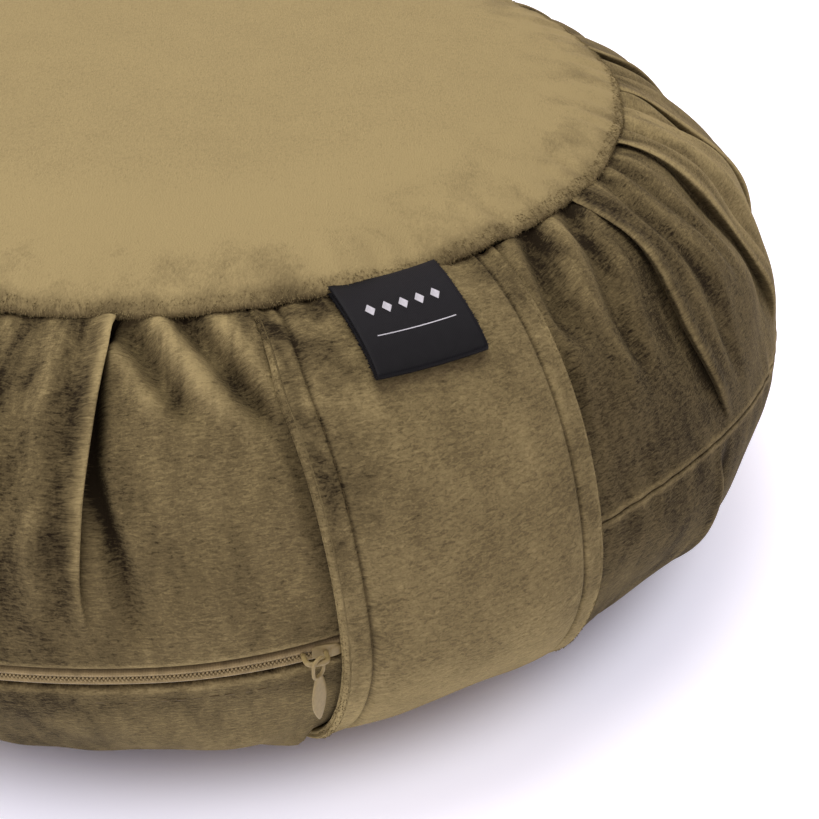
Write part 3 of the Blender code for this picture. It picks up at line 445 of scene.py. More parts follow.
class Wall:
    """The plain side wall under its folds.

    Above and below the widest level its section is a quarter of a superellipse: radius = seam radius
    + (widest - seam radius) cos(t)^(2/n), height = widest level + reach sin(t)^(2/n).
    """

    def __init__(self, size):
        """Samples the section from the bottom seam to the top seam. The normal is the slope along the
        path, turned by a quarter."""
        self.size = size
        self.top = TOP_LOW[2] + SEAM_TUCK
        self.bottom = BASE_HIGH[2] + GAP
        turn = np.linspace(-math.pi / 2, math.pi / 2, PROFILE_SAMPLES)
        power = 2.0 / size.shoulder_power
        upper = turn >= 0.0
        seam_radius = np.where(upper, TOP_HIGH[0] + CAP_GAP, BASE_HIGH[0] + GAP)
        reach = np.where(upper, self.top, self.bottom) - size.widest_height
        out = np.clip(np.cos(turn), 0.0, 1.0) ** power
        self.radius = seam_radius + (size.widest_radius - seam_radius) * out
        self.height = size.widest_height + reach * np.abs(np.sin(turn)) ** power
        step = np.hypot(np.diff(self.radius), np.diff(self.height))
        self.path = np.concatenate(([0.0], np.cumsum(step)))
        self.length = self.path[-1]
        slope_r = np.gradient(self.radius, self.path)
        slope_z = np.gradient(self.height, self.path)
        steep = np.hypot(slope_r, slope_z)
        self.normal_r = slope_z / steep
        self.normal_z = -slope_r / steep

    def section(self, path):
        """Radius, height and outward normal (radial, vertical) at a path length."""
        curves = (self.radius, self.height, self.normal_r, self.normal_z)
        return [np.interp(path, self.path, curve) for curve in curves]

    def path_at(self, height):
        """Path length at a height."""
        return np.interp(height, self.height, self.path)

    def turned(self, length):
        """Degrees that a length spans round the widest level."""
        return math.degrees(length / self.size.widest_radius)

    def place(self, azimuth, path, out=0.0, along=0.0):
        """Points at an azimuth and path length, moved out of the wall and along it."""
        radius, height, normal_r, normal_z = self.section(path)
        turn = np.radians(azimuth) + along / radius
        reach = radius + out * normal_r
        spot = (reach * np.cos(turn), reach * np.sin(turn), height + out * normal_z)
        return np.stack(np.broadcast_arrays(*spot), -1)

    def join(self, azimuth):
        """Path length of the seam between the bands: level, with a cosine-squared rise."""
        turn = turn_between(azimuth, JOIN_PEAK)
        span = np.where(turn < 0.0, JOIN_RISE_LEFT, JOIN_RISE_RIGHT)
        rise = np.cos(np.clip(np.abs(turn) / span, 0.0, 1.0) * math.pi / 2) ** 2
        return self.path_at(self.size.join_height + JOIN_RISE * rise)

    def strap_end(self, path):
        """1 at both seams, 0 over the middle of the handle's length."""
        return ease(1.0 - np.minimum(path, self.length - path) / STRAP_NECK_LENGTH)

    def strap_half_width(self, path):
        """Half the handle's width, a little narrower in the seams."""
        width = self.size.strap_width
        return 0.5 * (width + (STRAP_NECK - width) * self.strap_end(path))

    def strap_azimuth(self, path):
        """The handle's middle line, which drifts a little near the top seam."""
        top = ease(1.0 - (self.length - path) / STRAP_NECK_LENGTH)
        return STRAP_AZIMUTH + (STRAP_TOP_AZIMUTH - STRAP_AZIMUTH) * top

    def strap_across(self, azimuth, path):
        """Distance across from the handle's middle line, on the handle's own side of the cushion."""
        turn = np.clip(turn_between(azimuth, self.strap_azimuth(path)), -80.0, 80.0)
        return self.section(path)[0] * np.sin(np.radians(turn))

    def seat_depth(self, path):
        """The wall is drawn in under the handle's ends, which lie in the seams."""
        return (self.size.cloth + GAP) * self.strap_end(path)

    def strap_seat(self, azimuth, path, hold):
        """1 under the handle and a margin beyond it, then fading out to 0; hold is the two widths."""
        beyond = np.abs(self.strap_across(azimuth, path)) - self.strap_half_width(path)
        return 1.0 - ease((beyond - hold[0]) / hold[1])

    def strap_offset(self, path):
        """Offset of the handle's inner face from the plain wall."""
        free = ease(np.minimum(path, self.length - path) / STRAP_FREE_LENGTH)
        return GAP + STRAP_STAND_OFF * free - self.seat_depth(path)

    def strap_flat(self, across, path):
        """Depth of the handle's straight part within the round wall: a parabola across it."""
        share = np.clip(1.0 - (across / self.strap_half_width(path)) ** 2, 0.0, 1.0)
        high, low = STRAP_FLAT_FADE
        return STRAP_FLAT * share * ease((STRAP_FLAT_REACH - path) / high) * ease(path / low)


def zip_weight(azimuth):
    """1 along the zip, 0 past its ends."""
    middle = 0.5 * (ZIP_START + ZIP_END)
    half = 0.5 * (ZIP_START - ZIP_END)
    return 1.0 - ease((np.abs(turn_between(azimuth, middle)) - half) / ZIP_FADE)


# ---------------------------------------------------------------- folds of the bands

def lip(distance, radius):
    """Offset of a rounded edge: a quarter circle over the last radius of the cloth."""
    short = np.clip(radius - distance, 0.0, radius)
    return np.sqrt(radius ** 2 - short ** 2) - radius


def knife_pleats(wall, azimuth, path, upper, fields):
    """Z-folds. With c the distance from a fold's edge, positive where the edge looks, the cloth is
    carried along the wall by -gain c exp(-(c/width)^2), so that it doubles back on itself, and out
    by a rise that dies out behind the edge and a hollow that dies out in front of it. Under the edge
    the cloth falls in further: the mouth, a furrow darkened by painted shade. The edge gets a painted
    highlight, and painted shade lies in a strip behind it and in the hollow in front of it."""
    seam = wall.top if upper else wall.bottom
    radius, height = wall.section(path)[:2]
    from_seam = np.abs(height - seam)
    grow = SEAM_SHARE + (1.0 - SEAM_SHARE) * ease(from_seam / SEAM_EASE)
    gape = TUCK_WIDTH * (0.45 + 0.65 * ease(from_seam / MOUTH_OPENS))
    sweep = upper * ease((from_seam - SWEEP_START) / SWEEP_LENGTH)
    for row in (UPPER if upper else LOWER):
        deep = row["mouth"]
        c = row["faces"] * np.radians(turn_between(azimuth, row["azimuth"])) * radius
        fold = ease((np.abs(row["level"] - seam) - from_seam) / row["fade"])
        rise = PLEAT_TOP_SHARE * np.exp(np.minimum(c, 0.0) / PLEAT_TOP_REACH)
        hollow = (PLEAT_TOP_SHARE - 1.0) * np.exp(-np.maximum(c, 0.0) / PLEAT_HOLLOW_REACH)
        step = 0.5 + 0.5 * np.tanh(c / (0.45 * TUCK_WIDTH))
        bead = bell((c + 1.1 * TUCK_WIDTH) / (0.55 * TUCK_WIDTH))
        centre = 1.7 * gape + SWEEP_DRIFT * deep * sweep
        mouth = np.sqrt(fold) * bell((c - centre) / (0.8 * gape + SWEEP_WIDENS * deep * sweep))
        fields["out"] += row["depth"] * grow * fold * (rise + (hollow - rise) * step)
        fields["out"] += TUCK_BEAD * fold * bead - deep * row["depth"] * mouth
        fields["along"] -= row["faces"] * TUCK_GAIN * fold * c * bell(c / TUCK_WIDTH)
        # Painted highlight on the rolled edge, stronger for a deep mouth
        edge = bell((c + 0.8 * TUCK_WIDTH) / ((0.32 + 0.2 * deep) * TUCK_WIDTH))
        fields["rim"] += fold * edge * (1.0 + 1.2 * deep)
        # Painted shade in a strip behind the edge, and in the hollow in front of it
        fields["shade"] += 1.6 * deep * fold * bell((c + 0.0052) / 0.0024)
        fields["shade"] += 0.8 * fold * grow * step * np.exp(-np.maximum(c, 0.0) / 0.004)
        # Painted shade in the mouth, past the limit, lighter where the mouth sweeps aside
        fields["dark"] += 3.4 * deep * mouth * (1.0 - 0.60 * sweep)
        fields["crush"] += 0.45 * fold * np.exp(-np.abs(c) / 0.018)


def gathers(wall, azimuth, path, fields):
    """Valleys that fan out from the top seam: bells across, each drifting on its way down, with a
    soft ridge on either side. The valleys get painted shade and the ridges painted highlights."""
    radius, height = wall.section(path)[:2]
    from_top = wall.length - path
    start = GATHER_SEAM_SHARE + (1.0 - GATHER_SEAM_SHARE) * ease(from_top / GATHER_EASE)
    for row in GATHER:
        down = from_top / (wall.length - wall.path_at(row["level"]))
        bent = 1.0 - (1.0 - np.clip(down, 0.0, 1.0)) ** row["bend"]
        share = np.where(row["bend"] > 1.0, bent, np.minimum(down, GATHER_OVERRUN))
        line = row["azimuth"] + turn_between(row["low_azimuth"], row["azimuth"]) * share
        across = np.radians(turn_between(azimuth, line)) * radius / row["half_width"]
        fade = 2.2 * (height - row["level"]) / (wall.top - row["level"])
        strength = ease(fade) * (path > wall.join(azimuth))
        ridge = bell((np.abs(across) - 1.9) / 0.8)
        fields["out"] -= row["depth"] * start * strength * (bell(across) - 0.30 * ridge)
        # Painted shade in the valley, painted highlights on its ridges
        fields["shade"] += 180.0 * row["depth"] * strength * bell(across)
        fields["rim"] += 230.0 * row["depth"] * strength * ridge
        fields["crush"] += 0.5 * strength * np.exp(-np.abs(across) / 3.0)


def puff(azimuth, up, table):
    """The filling swells the cloth between neighbouring pleats: sine squared both ways."""
    edges = np.sort(table["azimuth"])
    edges = np.concatenate(([edges[-1] - 360.0], edges, [edges[0] + 360.0]))
    place = turn_between(azimuth, 0.0)
    left = np.clip(np.searchsorted(edges, place, side="right") - 1, 0, len(edges) - 2)
    share = (place - edges[left]) / (edges[left + 1] - edges[left])
    return PUFF * np.sin(np.pi * share) ** 2 * np.sin(np.pi * up) ** 2


def band_fields(wall, column, azimuth, path, low, high, upper):
    """How far one band's cloth is moved out and along, from its folds, puckers and uneven filling,
    and its marks: rim is a painted highlight, shade painted shade, dark more painted shade past its
    limit, and crush is patchier. Pleats follow the columns of the cloth, gathers and puckers their
    azimuth on the wall."""
    fields = {name: np.zeros(path.shape) for name in ("out", "along", "rim", "shade", "dark", "crush")}
    knife_pleats(wall, column, path, upper, fields)
    if upper:
        gathers(wall, azimuth, path, fields)
    up = np.clip((path - low) / (high - low), 0.0, 1.0)
    from_low = np.clip(path - low, 0.0, None)
    from_high = np.clip(high - path, 0.0, None)
    at_seam, at_join = (from_high, from_low) if upper else (from_low, from_high)
    swell = np.sin(np.pi * up)
    zipped = zip_weight(azimuth)
    sewn = 1.0 - zipped
    fields["out"] += puff(column, up, UPPER if upper else LOWER)
    for row in (UPPER_FILLING if upper else LOWER_FILLING):
        place = bell(turn_between(azimuth, row["azimuth"]) / row["spread"])
        fields["out"] += row["out"] * place * bell((up - row["at"]) / row["tall"])
    for out, twist, fewest, most, seed in SWELLS:
        fields["out"] += out * swell * ripple(azimuth + twist * up, fewest, most, seed)
    pucker = np.exp(-at_seam / 0.008) * ripple(azimuth, 60, 120, 5)
    fields["out"] += 0.00055 * pucker * ease(at_seam / 0.003)
    fields["out"] += 0.00025 * np.exp(-at_join / 0.006) * ripple(azimuth, 90, 160, 6)
    fields["out"] += 0.0007 * sewn * bell(at_join / 0.0013)
    hold = ease((at_join + 0.003 * sewn) / HOLD) * ease(at_seam / (0.001 if upper else 0.005))
    free = hold * (1.0 - wall.strap_seat(azimuth, path, STRAP_HOLD))
    for name in ("along", "out"):
        fields[name] *= free
    fields["out"] -= wall.strap_seat(azimuth, path, STRAP_SINK) * wall.seat_depth(path)
    fields["out"] -= wall.strap_flat(wall.strap_across(azimuth, path), path)

    # Painted highlight along the lips of the band seam; near the top seam the paleness wavers round the
    # cushion
    fields["rim"] += 1.1 * bell((at_join - 0.0009) / 0.0008)
    fields["rim"] += 0.3 * np.exp(-at_seam / 0.008) * ripple(azimuth, 40, 90, 7)
    fields["crush"] += 1.1 * np.exp(-at_seam / 0.014) + 0.5 * np.exp(-at_join / 0.008)
    if not upper:
        fields["crush"] += 0.5 * swell
        # Painted shade a little below the lip of the band seam
        fields["shade"] += 0.35 * bell((at_join - 0.0055) / 0.0035)
    # Painted shade along the top seam and in the crevice of the band seam, deeper along the zip
    fields["shade"] += 0.5 * np.exp(-at_seam / 0.0022) + (0.3 + zipped) * np.exp(-at_join / 0.0004)
    # Painted shade beside the handle
    fields["shade"] += 0.55 * wall.strap_seat(azimuth, path, STRAP_SHADE)
    # Painted shade and highlight by azimuth; all painted shade is limited softly, then the painted shade
    # of the pleats' mouths is added past the limit
    azimuth_painted_shade = sum(row["shade"] * bell(turn_between(azimuth, row["azimuth"]) / row["spread"]) for row in PAINTED_PILE_SHADE)
    fields["shade"] = SHADE_LIMIT * np.tanh((fields["shade"] + azimuth_painted_shade) / SHADE_LIMIT) + fields["dark"]
    return fields


def band_columns(table, count):
    """Azimuths of a band's columns: close together over each pleat and on the photographed side."""
    spot = np.linspace(-180.0, 180.0, 7201)
    density = 0.55 + 0.9 * bell(turn_between(spot, -60.0) / 55.0)
    tuck = math.degrees(TUCK_WIDTH / 0.155)
    for azimuth in table["azimuth"]:
        density = density + 4.5 * bell(turn_between(spot, azimuth) / (1.7 * tuck))
    total = np.concatenate(([0.0], np.cumsum(0.5 * (density[1:] + density[:-1]))))
    return np.interp(np.arange(count) / count, total / total[-1], spot)


def band_points(wall, name):
    """The ring-shaped grid of one band: its face from edge to edge, both edges turned in, and a
    lining behind it that closes the piece."""
    upper = name == "upper_band"
    table = UPPER if upper else LOWER
    column = band_columns(table, BAND_COLUMNS[name])
    zipped = zip_weight(column)
    order = np.argsort(table["azimuth"])
    lean = np.interp(column, table["azimuth"][order], table["lean"][order], period=360.0)
    opening = ZIP_OPENING * zipped + SEWN_OPENING
    low = wall.join(column) + opening if upper else np.zeros(column.shape)
    high = np.full(column.shape, wall.length) if upper else wall.join(column) - opening
    inset = EDGE_ROWS[-1]
    share = np.linspace(0.0, 1.0, BAND_MIDDLE_ROWS[name])[:, None]
    middle = low + inset + share * (high - low - 2.0 * inset)
    face = np.concatenate((low + EDGE_ROWS[:-1, None], middle, high - EDGE_ROWS[-2::-1, None]))
    turned = TURNED_IN_ROWS[:, None] + 0.0 * column
    back = high + np.linspace(0.0, 1.0, LINING_ROWS)[:, None] * (low - high)
    path = np.concatenate((low + 0.0 * turned, face, high + 0.0 * turned, back))
    depth = np.concatenate((turned[::-1], 0.0 * face, turned, LINING_DEPTH + 0.0 * back))
    up = (path - low) / (high - low)
    open_share = (1.0 - up) if upper else up
    azimuth = column + lean * np.sin(np.pi * np.clip(open_share, 0.0, 1.0) ** 1.5)
    fields = band_fields(wall, column + 0.0 * path, azimuth, path, low, high, upper)
    keep = np.clip(1.0 - depth / LINING_DEPTH, 0.0, 1.0)
    join_radius = JOIN_LIP_RADIUS + (LIP_RADIUS - JOIN_LIP_RADIUS) * zipped
    low_radius, high_radius = (join_radius, SEAM_LIP_RADIUS) if upper else (LIP_RADIUS, join_radius)
    edge = np.minimum(lip(path - low, low_radius), lip(high - path, high_radius))
    points = wall.place(azimuth, path, fields["out"] * keep + edge - depth, fields["along"] * keep)
    points[..., 2] = np.maximum(points[..., 2], BASE_LOW[2] + GAP)
    round_wall = np.radians(np.append(column, column[0] + 360.0)) * wall.size.widest_radius
    run = np.pad(path - depth, ((0, 1), (0, 1)), mode="wrap")
    cloth = np.stack((round_wall + 0.0 * run, run), -1)
    # The edges that turn in to the seams get painted shade
    marks = {"rim": fields["rim"] * keep, "shade": fields["shade"] + 0.8 * ease(depth / 0.003),
             "crush": fields["crush"]}
    return points, cloth, marks


# ---------------------------------------------------------------- meshes

def add_piece(name, mesh, finish, node=None):
    """An object for a finished mesh that rides on the cushion and stands for a solid."""
    made = bpy.data.objects.new(name, mesh)
    bpy.context.scene.collection.objects.link(made)
    mesh.materials.append(finish)
    mesh.shade_smooth()
    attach(made, BODY)
    if node:
        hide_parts(node)
    return made


def grid_faces(rows, columns, closed_rows, closed_columns):
    """Corner numbers of the quads between neighbouring rows and columns of a grid."""
    row = np.arange(rows if closed_rows else rows - 1)[:, None]
    column = np.arange(columns if closed_columns else columns - 1)[None, :]
    next_row, next_column = (row + 1) % rows, (column + 1) % columns
    corners = (row * columns + column, row * columns + next_column,
               next_row * columns + next_column, next_row * columns + column)
    return np.stack(corners, -1).reshape(-1, 4)


def cloth_corners(cloth):
    """Cloth coordinates of each quad's corners, from a grid that is one wider where it closes."""
    corners = (cloth[:-1, :-1], cloth[:-1, 1:], cloth[1:, 1:], cloth[1:, :-1])
    return np.stack(corners, 2).reshape(-1, 4, 2)


def new_mesh(name, points, faces, corners):
    """A mesh with the map "cloth" in metres, given for each corner of each face."""
    mesh = bpy.data.meshes.new(name)
    mesh.from_pydata(points.reshape(-1, 3).tolist(), [], faces.tolist())
    layer = mesh.uv_layers.new(name="cloth")
    layer.data.foreach_set("uv", corners.astype(np.float32).ravel())
    mesh.update()
    return mesh


def weld(mesh):
    """Merges points that lie together, as at a pole, fills what stays open, and turns each body's
    faces outwards."""
    body = bmesh.new()
    body.from_mesh(mesh)
    bmesh.ops.remove_doubles(body, verts=body.verts, dist=1e-7)
    bmesh.ops.holes_fill(body, edges=body.edges, sides=0)
    bmesh.ops.recalc_face_normals(body, faces=body.faces)
    body.to_mesh(mesh)
    body.free()


def grid_mesh(name, points, cloth, closed_rows=False, closed_columns=False, marks=None, caps=False):
    """A mesh from a grid of points, with its cloth map and marks as attributes. Its faces are turned
    outwards by the sign of its volume."""
    faces = grid_faces(*points.shape[:2], closed_rows, closed_columns)
    corners = cloth_corners(cloth)
    a, b, c, d = (points.reshape(-1, 3)[faces[:, k]] for k in range(4))
    if (np.cross(a, b) * c).sum() + (np.cross(a, c) * d).sum() < 0.0:
        faces, corners = faces[:, ::-1], corners[:, ::-1]
    mesh = new_mesh(name, points, faces, corners)
    for mark, values in (marks or {}).items():
        made = mesh.attributes.new(mark, "FLOAT", "POINT")
        made.data.foreach_set("value", values.astype(np.float32).ravel())
    if caps:
        weld(mesh)
    return mesh


def many_grids_mesh(name, grids, tubes=True, patch=(0.003, 0.001), apart=(0.0137, 0.0071)):
    """One mesh of many equal grids: tubes, closed round their columns and at their two poles, or open
    patches. Each has a patch of the cloth map, apart from the one before."""
    count, rows, columns = grids.shape[:3]
    one = grid_faces(rows, columns, False, tubes)
    corners = cloth_corners(plain_cloth(rows, columns + tubes, *patch))
    if tubes:
        one, corners = one[:, ::-1], corners[:, ::-1]
    faces = (one[None] + (np.arange(count) * rows * columns)[:, None, None]).reshape(-1, 4)
    mesh = new_mesh(name, grids, faces, corners + np.arange(count)[:, None, None, None] * apart)
    if tubes:
        weld(mesh)
    return mesh


def joined_mesh(name, grids):
    """One mesh of several grids of their own sizes, each closed round its columns and at its poles."""
    body = bmesh.new()
    for grid in grids:
        rows, columns = grid.shape[:2]
        cloth = plain_cloth(rows, columns + 1, 0.01, 0.01)
        part = grid_mesh(name, grid, cloth, False, True, caps=True)
        body.from_mesh(part)
        bpy.data.meshes.remove(part)
    mesh = bpy.data.meshes.new(name)
    body.to_mesh(mesh)
    body.free()
    return mesh


def plain_cloth(rows, columns, length, width):
    """A cloth map that runs from 0 to length over the rows and to width over the columns."""
    along, across = np.linspace(0.0, length, rows), np.linspace(0.0, width, columns)
    return np.stack(np.meshgrid(along, across, indexing="ij"), -1)


def bars(start, end, up, thickness, sides=6, steps=6):
    """Short thick threads: for each start and end, a round bar whose radius is that of a long
    egg, thickness sqrt(1 - t^4), carried from one to the other. Returns one grid of points a bar."""
    t = np.linspace(-1.0, 1.0, steps)[:, None, None]
    turn = full_turn(sides)[:, None]
    start, end, up = (part[:, None, None] for part in (start, end, up))
    along = end - start
    side = unit(np.cross(up, along))
    lift = unit(np.cross(along, side))
    width = thickness * np.sqrt(np.clip(1.0 - t ** 4, 0.0, 1.0))
    return 0.5 * (start + end) + 0.5 * along * t + width * (side * np.cos(turn) + lift * np.sin(turn))


def pile_tufts(grid, rows, columns, count, reach, lay, seed):
    """Loose tufts on part of a grid. Each starts at a random spot between four points and runs out
    by the normal plus lay times the way down the rows, with a random slant."""
    rng = np.random.default_rng(seed)
    row, column = rng.uniform(*rows, count), rng.uniform(*columns, count)
    low, left = row.astype(int), column.astype(int)
    up, aside = (row - low)[:, None], (column - left)[:, None]
    right = (left + 1) % grid.shape[1]
    before = grid[low, left] * (1.0 - aside) + grid[low, right] * aside
    after = grid[low + 1, left] * (1.0 - aside) + grid[low + 1, right] * aside
    down = after - before
    spot = before + down * up
    across = grid[low, right] - grid[low, left]
    out = np.cross(across, down)
    out *= np.sign((out * (spot - TUFT_CENTRE)).sum(-1, keepdims=True))
    way = unit(unit(out) + lay * unit(down) + rng.normal(0.0, TUFT_SPREAD, spot.shape))
    length = rng.uniform(*reach, count)[:, None]
    return bars(spot - TUFT_ROOT * way, spot + length * way, across, TUFT_RADIUS, sides=3, steps=3)


# ---------------------------------------------------------------- materials

def linear(text, gain=1.0):
    """An sRGB hex value as a linear colour with alpha, its light times gain."""
    value = np.array([int(text[k:k + 2], 16) for k in (1, 3, 5)]) / 255.0
    curve = np.where(value <= 0.04045, value / 12.92, ((value + 0.055) / 1.055) ** 2.4)
    return (*(gain * curve).tolist(), 1.0)


def add_node(tree, kind, inputs=None, **settings):
    """Adds a node with its settings. Inputs are values, or sockets to link, by name or number."""
    made = tree.nodes.new(kind)
    for name, value in settings.items():
        setattr(made, name, value)
    for name, value in (inputs or {}).items():
        if isinstance(value, bpy.types.NodeSocket):
            tree.links.new(value, made.inputs[name])
        else:
            made.inputs[name].default_value = value
    return made


def new_material(name):
    """An empty node material and its Principled shader."""
    made = bpy.data.materials.new(name)
    made.use_nodes = True
    return made, made.node_tree, made.node_tree.nodes["Principled BSDF"]


def set_ramp(ramp, stops):
    """Gives a colour ramp its stops, as (place, colour) pairs."""
    elements = ramp.color_ramp.elements
    while len(elements) < len(stops):
        elements.new(0.5)
    for element, (place, colour) in zip(elements, stops):
        element.position = place
        element.color = colour


def velour(name, colours):
    """Knitted cotton velour, sheared. The short pile stands up, lies over or is crushed, which gives
    the eye patches of one colour in three depths, fine streaks across the wale and a soft glow where
    it is seen from the side. Its place on a ramp of three colours is the sum of its paleness, the
    centred patches times their strength, the streaks, the tufts, and the marks of its mesh: rim, a
    painted highlight, and shade, painted shade. The paleness of each place is in part painted light
    as well."""
    patch, strength, streak, lift, fleck = VELOURS[name]
    made, tree, shader = new_material(name)
    place = add_node(tree, "ShaderNodeUVMap", uv_map="cloth").outputs["UV"]
    wide = add_node(tree, "ShaderNodeMapping", {
        "Vector": place, "Scale": (1.0 / patch[0], 1.0 / patch[1], 1.0)})
    patches = add_node(tree, "ShaderNodeTexNoise", {
        "Vector": wide.outputs["Vector"], "Scale": 1.0, "Detail": 4.0, "Roughness": 0.62,
        "Distortion": 0.25})
    stretch = add_node(tree, "ShaderNodeMapping", {
        "Vector": place, "Scale": (1.0 / streak[0], 1.0 / streak[1], 1.0)})
    streaks = add_node(tree, "ShaderNodeTexNoise", {
        "Vector": stretch.outputs["Vector"], "Scale": 1.0, "Detail": 3.0, "Roughness": 0.6,
        "Distortion": 0.9})
    # Single tufts are 0.2 mm, drawn at 0.5 mm to show
    tufts = add_node(tree, "ShaderNodeTexNoise", {
        "Vector": place, "Scale": 1.0 / TUFT_DRAWN, "Detail": 2.0, "Roughness": 0.6})
    # Parted pile: only the deepest streaks open down to the ground
    parted = add_node(tree, "ShaderNodeMath", {0: streaks.outputs["Fac"], 1: -8.0, 2: 3.1},
                      operation="MULTIPLY_ADD", use_clamp=True)
    rim, shade, crush = (add_node(tree, "ShaderNodeAttribute", attribute_name=mark).outputs["Fac"]
                         for mark in ("rim", "shade", "crush"))
    patchy = add_node(tree, "ShaderNodeMath", {0: crush, 1: strength[1], 2: strength[0]},
                      operation="MULTIPLY_ADD")
    centred = add_node(tree, "ShaderNodeMath", {0: patches.outputs["Fac"], 1: 0.5},
                       operation="SUBTRACT")
    mottle = add_node(tree, "ShaderNodeMath", {0: centred.outputs[0], 1: patchy.outputs[0]},
                      operation="MULTIPLY")
    # rim adds a painted highlight and shade takes away painted shade from the ramp's place
    shares = ((mottle.outputs[0], 1.0), (streaks.outputs["Fac"], 0.84 * fleck),
              (tufts.outputs["Fac"], 0.32 * fleck), (parted.outputs[0], -0.06 * fleck),
              (rim, 0.26), (shade, -0.30))
    # The place's paleness: in part a painted highlight on the crown, painted shade on the bands, the
    # handle and the base
    total = lift - 0.61 * fleck
    for socket, weight in shares:
        total = add_node(tree, "ShaderNodeMath", {0: socket, 1: weight, 2: total},
                         operation="MULTIPLY_ADD").outputs[0]
    ramp = add_node(tree, "ShaderNodeValToRGB", {"Fac": total})
    set_ramp(ramp, ((0.05, linear(colours.velour_deep)), (0.50, linear(colours.velour)),
                    (0.95, linear(colours.velour_pale))))
    relief = add_node(tree, "ShaderNodeMath", {
        0: streaks.outputs["Fac"], 1: 0.7, 2: tufts.outputs["Fac"]}, operation="MULTIPLY_ADD")
    bump = add_node(tree, "ShaderNodeBump", {
        "Strength": 0.6, "Distance": 0.0005, "Height": relief.outputs[0]})
    tree.links.new(ramp.outputs["Color"], shader.inputs["Base Color"])
    tree.links.new(bump.outputs["Normal"], shader.inputs["Normal"])
    shader.inputs["Roughness"].default_value = 0.92
    shader.inputs["Specular IOR Level"].default_value = 0.10
    shader.inputs["Sheen Weight"].default_value = 0.30
    shader.inputs["Sheen Roughness"].default_value = 0.38
    shader.inputs["Sheen Tint"].default_value = linear(colours.velour_pale)
    return made


def woven_thread(name, colour, spacing, roughness, sheen):
    """Fine woven thread: two crossing sets of ridges, spaced across and along the cloth map, which
    catch the light as a faint grid."""
    made, tree, shader = new_material(name)
    place = add_node(tree, "ShaderNodeUVMap", uv_map="cloth").outputs["UV"]
    warp, weft = (add_node(tree, "ShaderNodeTexWave", {
        "Vector": place, "Scale": WAVE_LENGTH / gap, "Distortion": 0.6, "Detail": 1.0,
        "Detail Scale": 2.0}, bands_direction=way).outputs["Fac"] for gap, way in zip(spacing, "XY"))
    grid = add_node(tree, "ShaderNodeMath", {0: warp, 1: weft}, operation="ADD")
    # Uneven dye, in spots of 2.4 mm
    dust = add_node(tree, "ShaderNodeTexNoise", {"Vector": place, "Scale": 420.0, "Detail": 3.0})
    ramp = add_node(tree, "ShaderNodeValToRGB", {"Fac": dust.outputs["Fac"]})
    set_ramp(ramp, ((0.3, linear(colour, 0.8)), (0.75, linear(colour, 1.25))))
    bump = add_node(tree, "ShaderNodeBump", {
        "Strength": 0.35, "Distance": 0.0001, "Height": grid.outputs[0]})
    tree.links.new(ramp.outputs["Color"], shader.inputs["Base Color"])
    tree.links.new(bump.outputs["Normal"], shader.inputs["Normal"])
    shader.inputs["Roughness"].default_value = roughness
    shader.inputs["Specular IOR Level"].default_value = 0.12
    shader.inputs["Sheen Weight"].default_value = sheen
    shader.inputs["Sheen Roughness"].default_value = 0.4
    return made


def enamelled_zinc(colours):
    """Die-cast zinc with a baked coat of olive enamel: even, satin, with a little orange peel."""
    made, tree, shader = new_material("Enamelled_die_cast_zinc")
    place = add_node(tree, "ShaderNodeTexCoord").outputs["Object"]
    # Orange peel of 0.9 mm
    peel = add_node(tree, "ShaderNodeTexNoise", {"Vector": place, "Scale": 1100.0, "Detail": 2.0})
    ramp = add_node(tree, "ShaderNodeValToRGB", {"Fac": peel.outputs["Fac"]})
    set_ramp(ramp, ((0.3, linear(colours.zip_enamel, 0.88)), (0.7, linear(colours.zip_enamel, 1.08))))
    bump = add_node(tree, "ShaderNodeBump", {
        "Strength": 0.2, "Distance": 0.00005, "Height": peel.outputs["Fac"]})
    tree.links.new(ramp.outputs["Color"], shader.inputs["Base Color"])
    tree.links.new(bump.outputs["Normal"], shader.inputs["Normal"])
    shader.inputs["Roughness"].default_value = 0.42
    shader.inputs["Specular IOR Level"].default_value = 0.3
    return made


def studio_table(colours):
    """Sanded opal acrylic, lit from below: an even white, with a short violet shadow where the cushion
    stands, painted by letting the glow fade out towards the cushion's middle."""
    made, tree, shader = new_material("Sanded_opal_acrylic")
    place = add_node(tree, "ShaderNodeTexCoord").outputs["Object"]
    # The sanded tooth is 0.1 mm, drawn at 1.1 mm to show
    tooth = add_node(tree, "ShaderNodeTexNoise", {"Vector": place, "Scale": 900.0, "Detail": 2.0})
    bump = add_node(tree, "ShaderNodeBump", {
        "Strength": 0.05, "Distance": 0.0002, "Height": tooth.outputs["Fac"]})
    # The glow rises with the distance from the cushion's middle: a painted contact shadow
    reach = add_node(tree, "ShaderNodeVectorMath", {0: place}, operation="LENGTH")
    glow = add_node(tree, "ShaderNodeMapRange", {
        "Value": reach.outputs["Value"], "From Min": TABLE_SHADOW_RADII[0], "From Max": TABLE_SHADOW_RADII[1],
        "To Min": 0.0, "To Max": TABLE_GLOW}, interpolation_type="SMOOTHSTEP")
    tree.links.new(bump.outputs["Normal"], shader.inputs["Normal"])
    tree.links.new(glow.outputs["Result"], shader.inputs["Emission Strength"])
    shader.inputs["Base Color"].default_value = linear(colours.floor)
    shader.inputs["Roughness"].default_value = 0.9
    shader.inputs["Emission Color"].default_value = linear(colours.table_glow)
    return made


# ---------------------------------------------------------------- panels

def turned_points(outline, columns):
    """An outline of (radius, height) turned about Z, as a grid of rings."""
    turn = full_turn(columns)
    radius, height = outline[:, :1], outline[:, 1:]
    spot = (radius * np.cos(turn), radius * np.sin(turn), height)
    return np.stack(np.broadcast_arrays(*spot), -1)


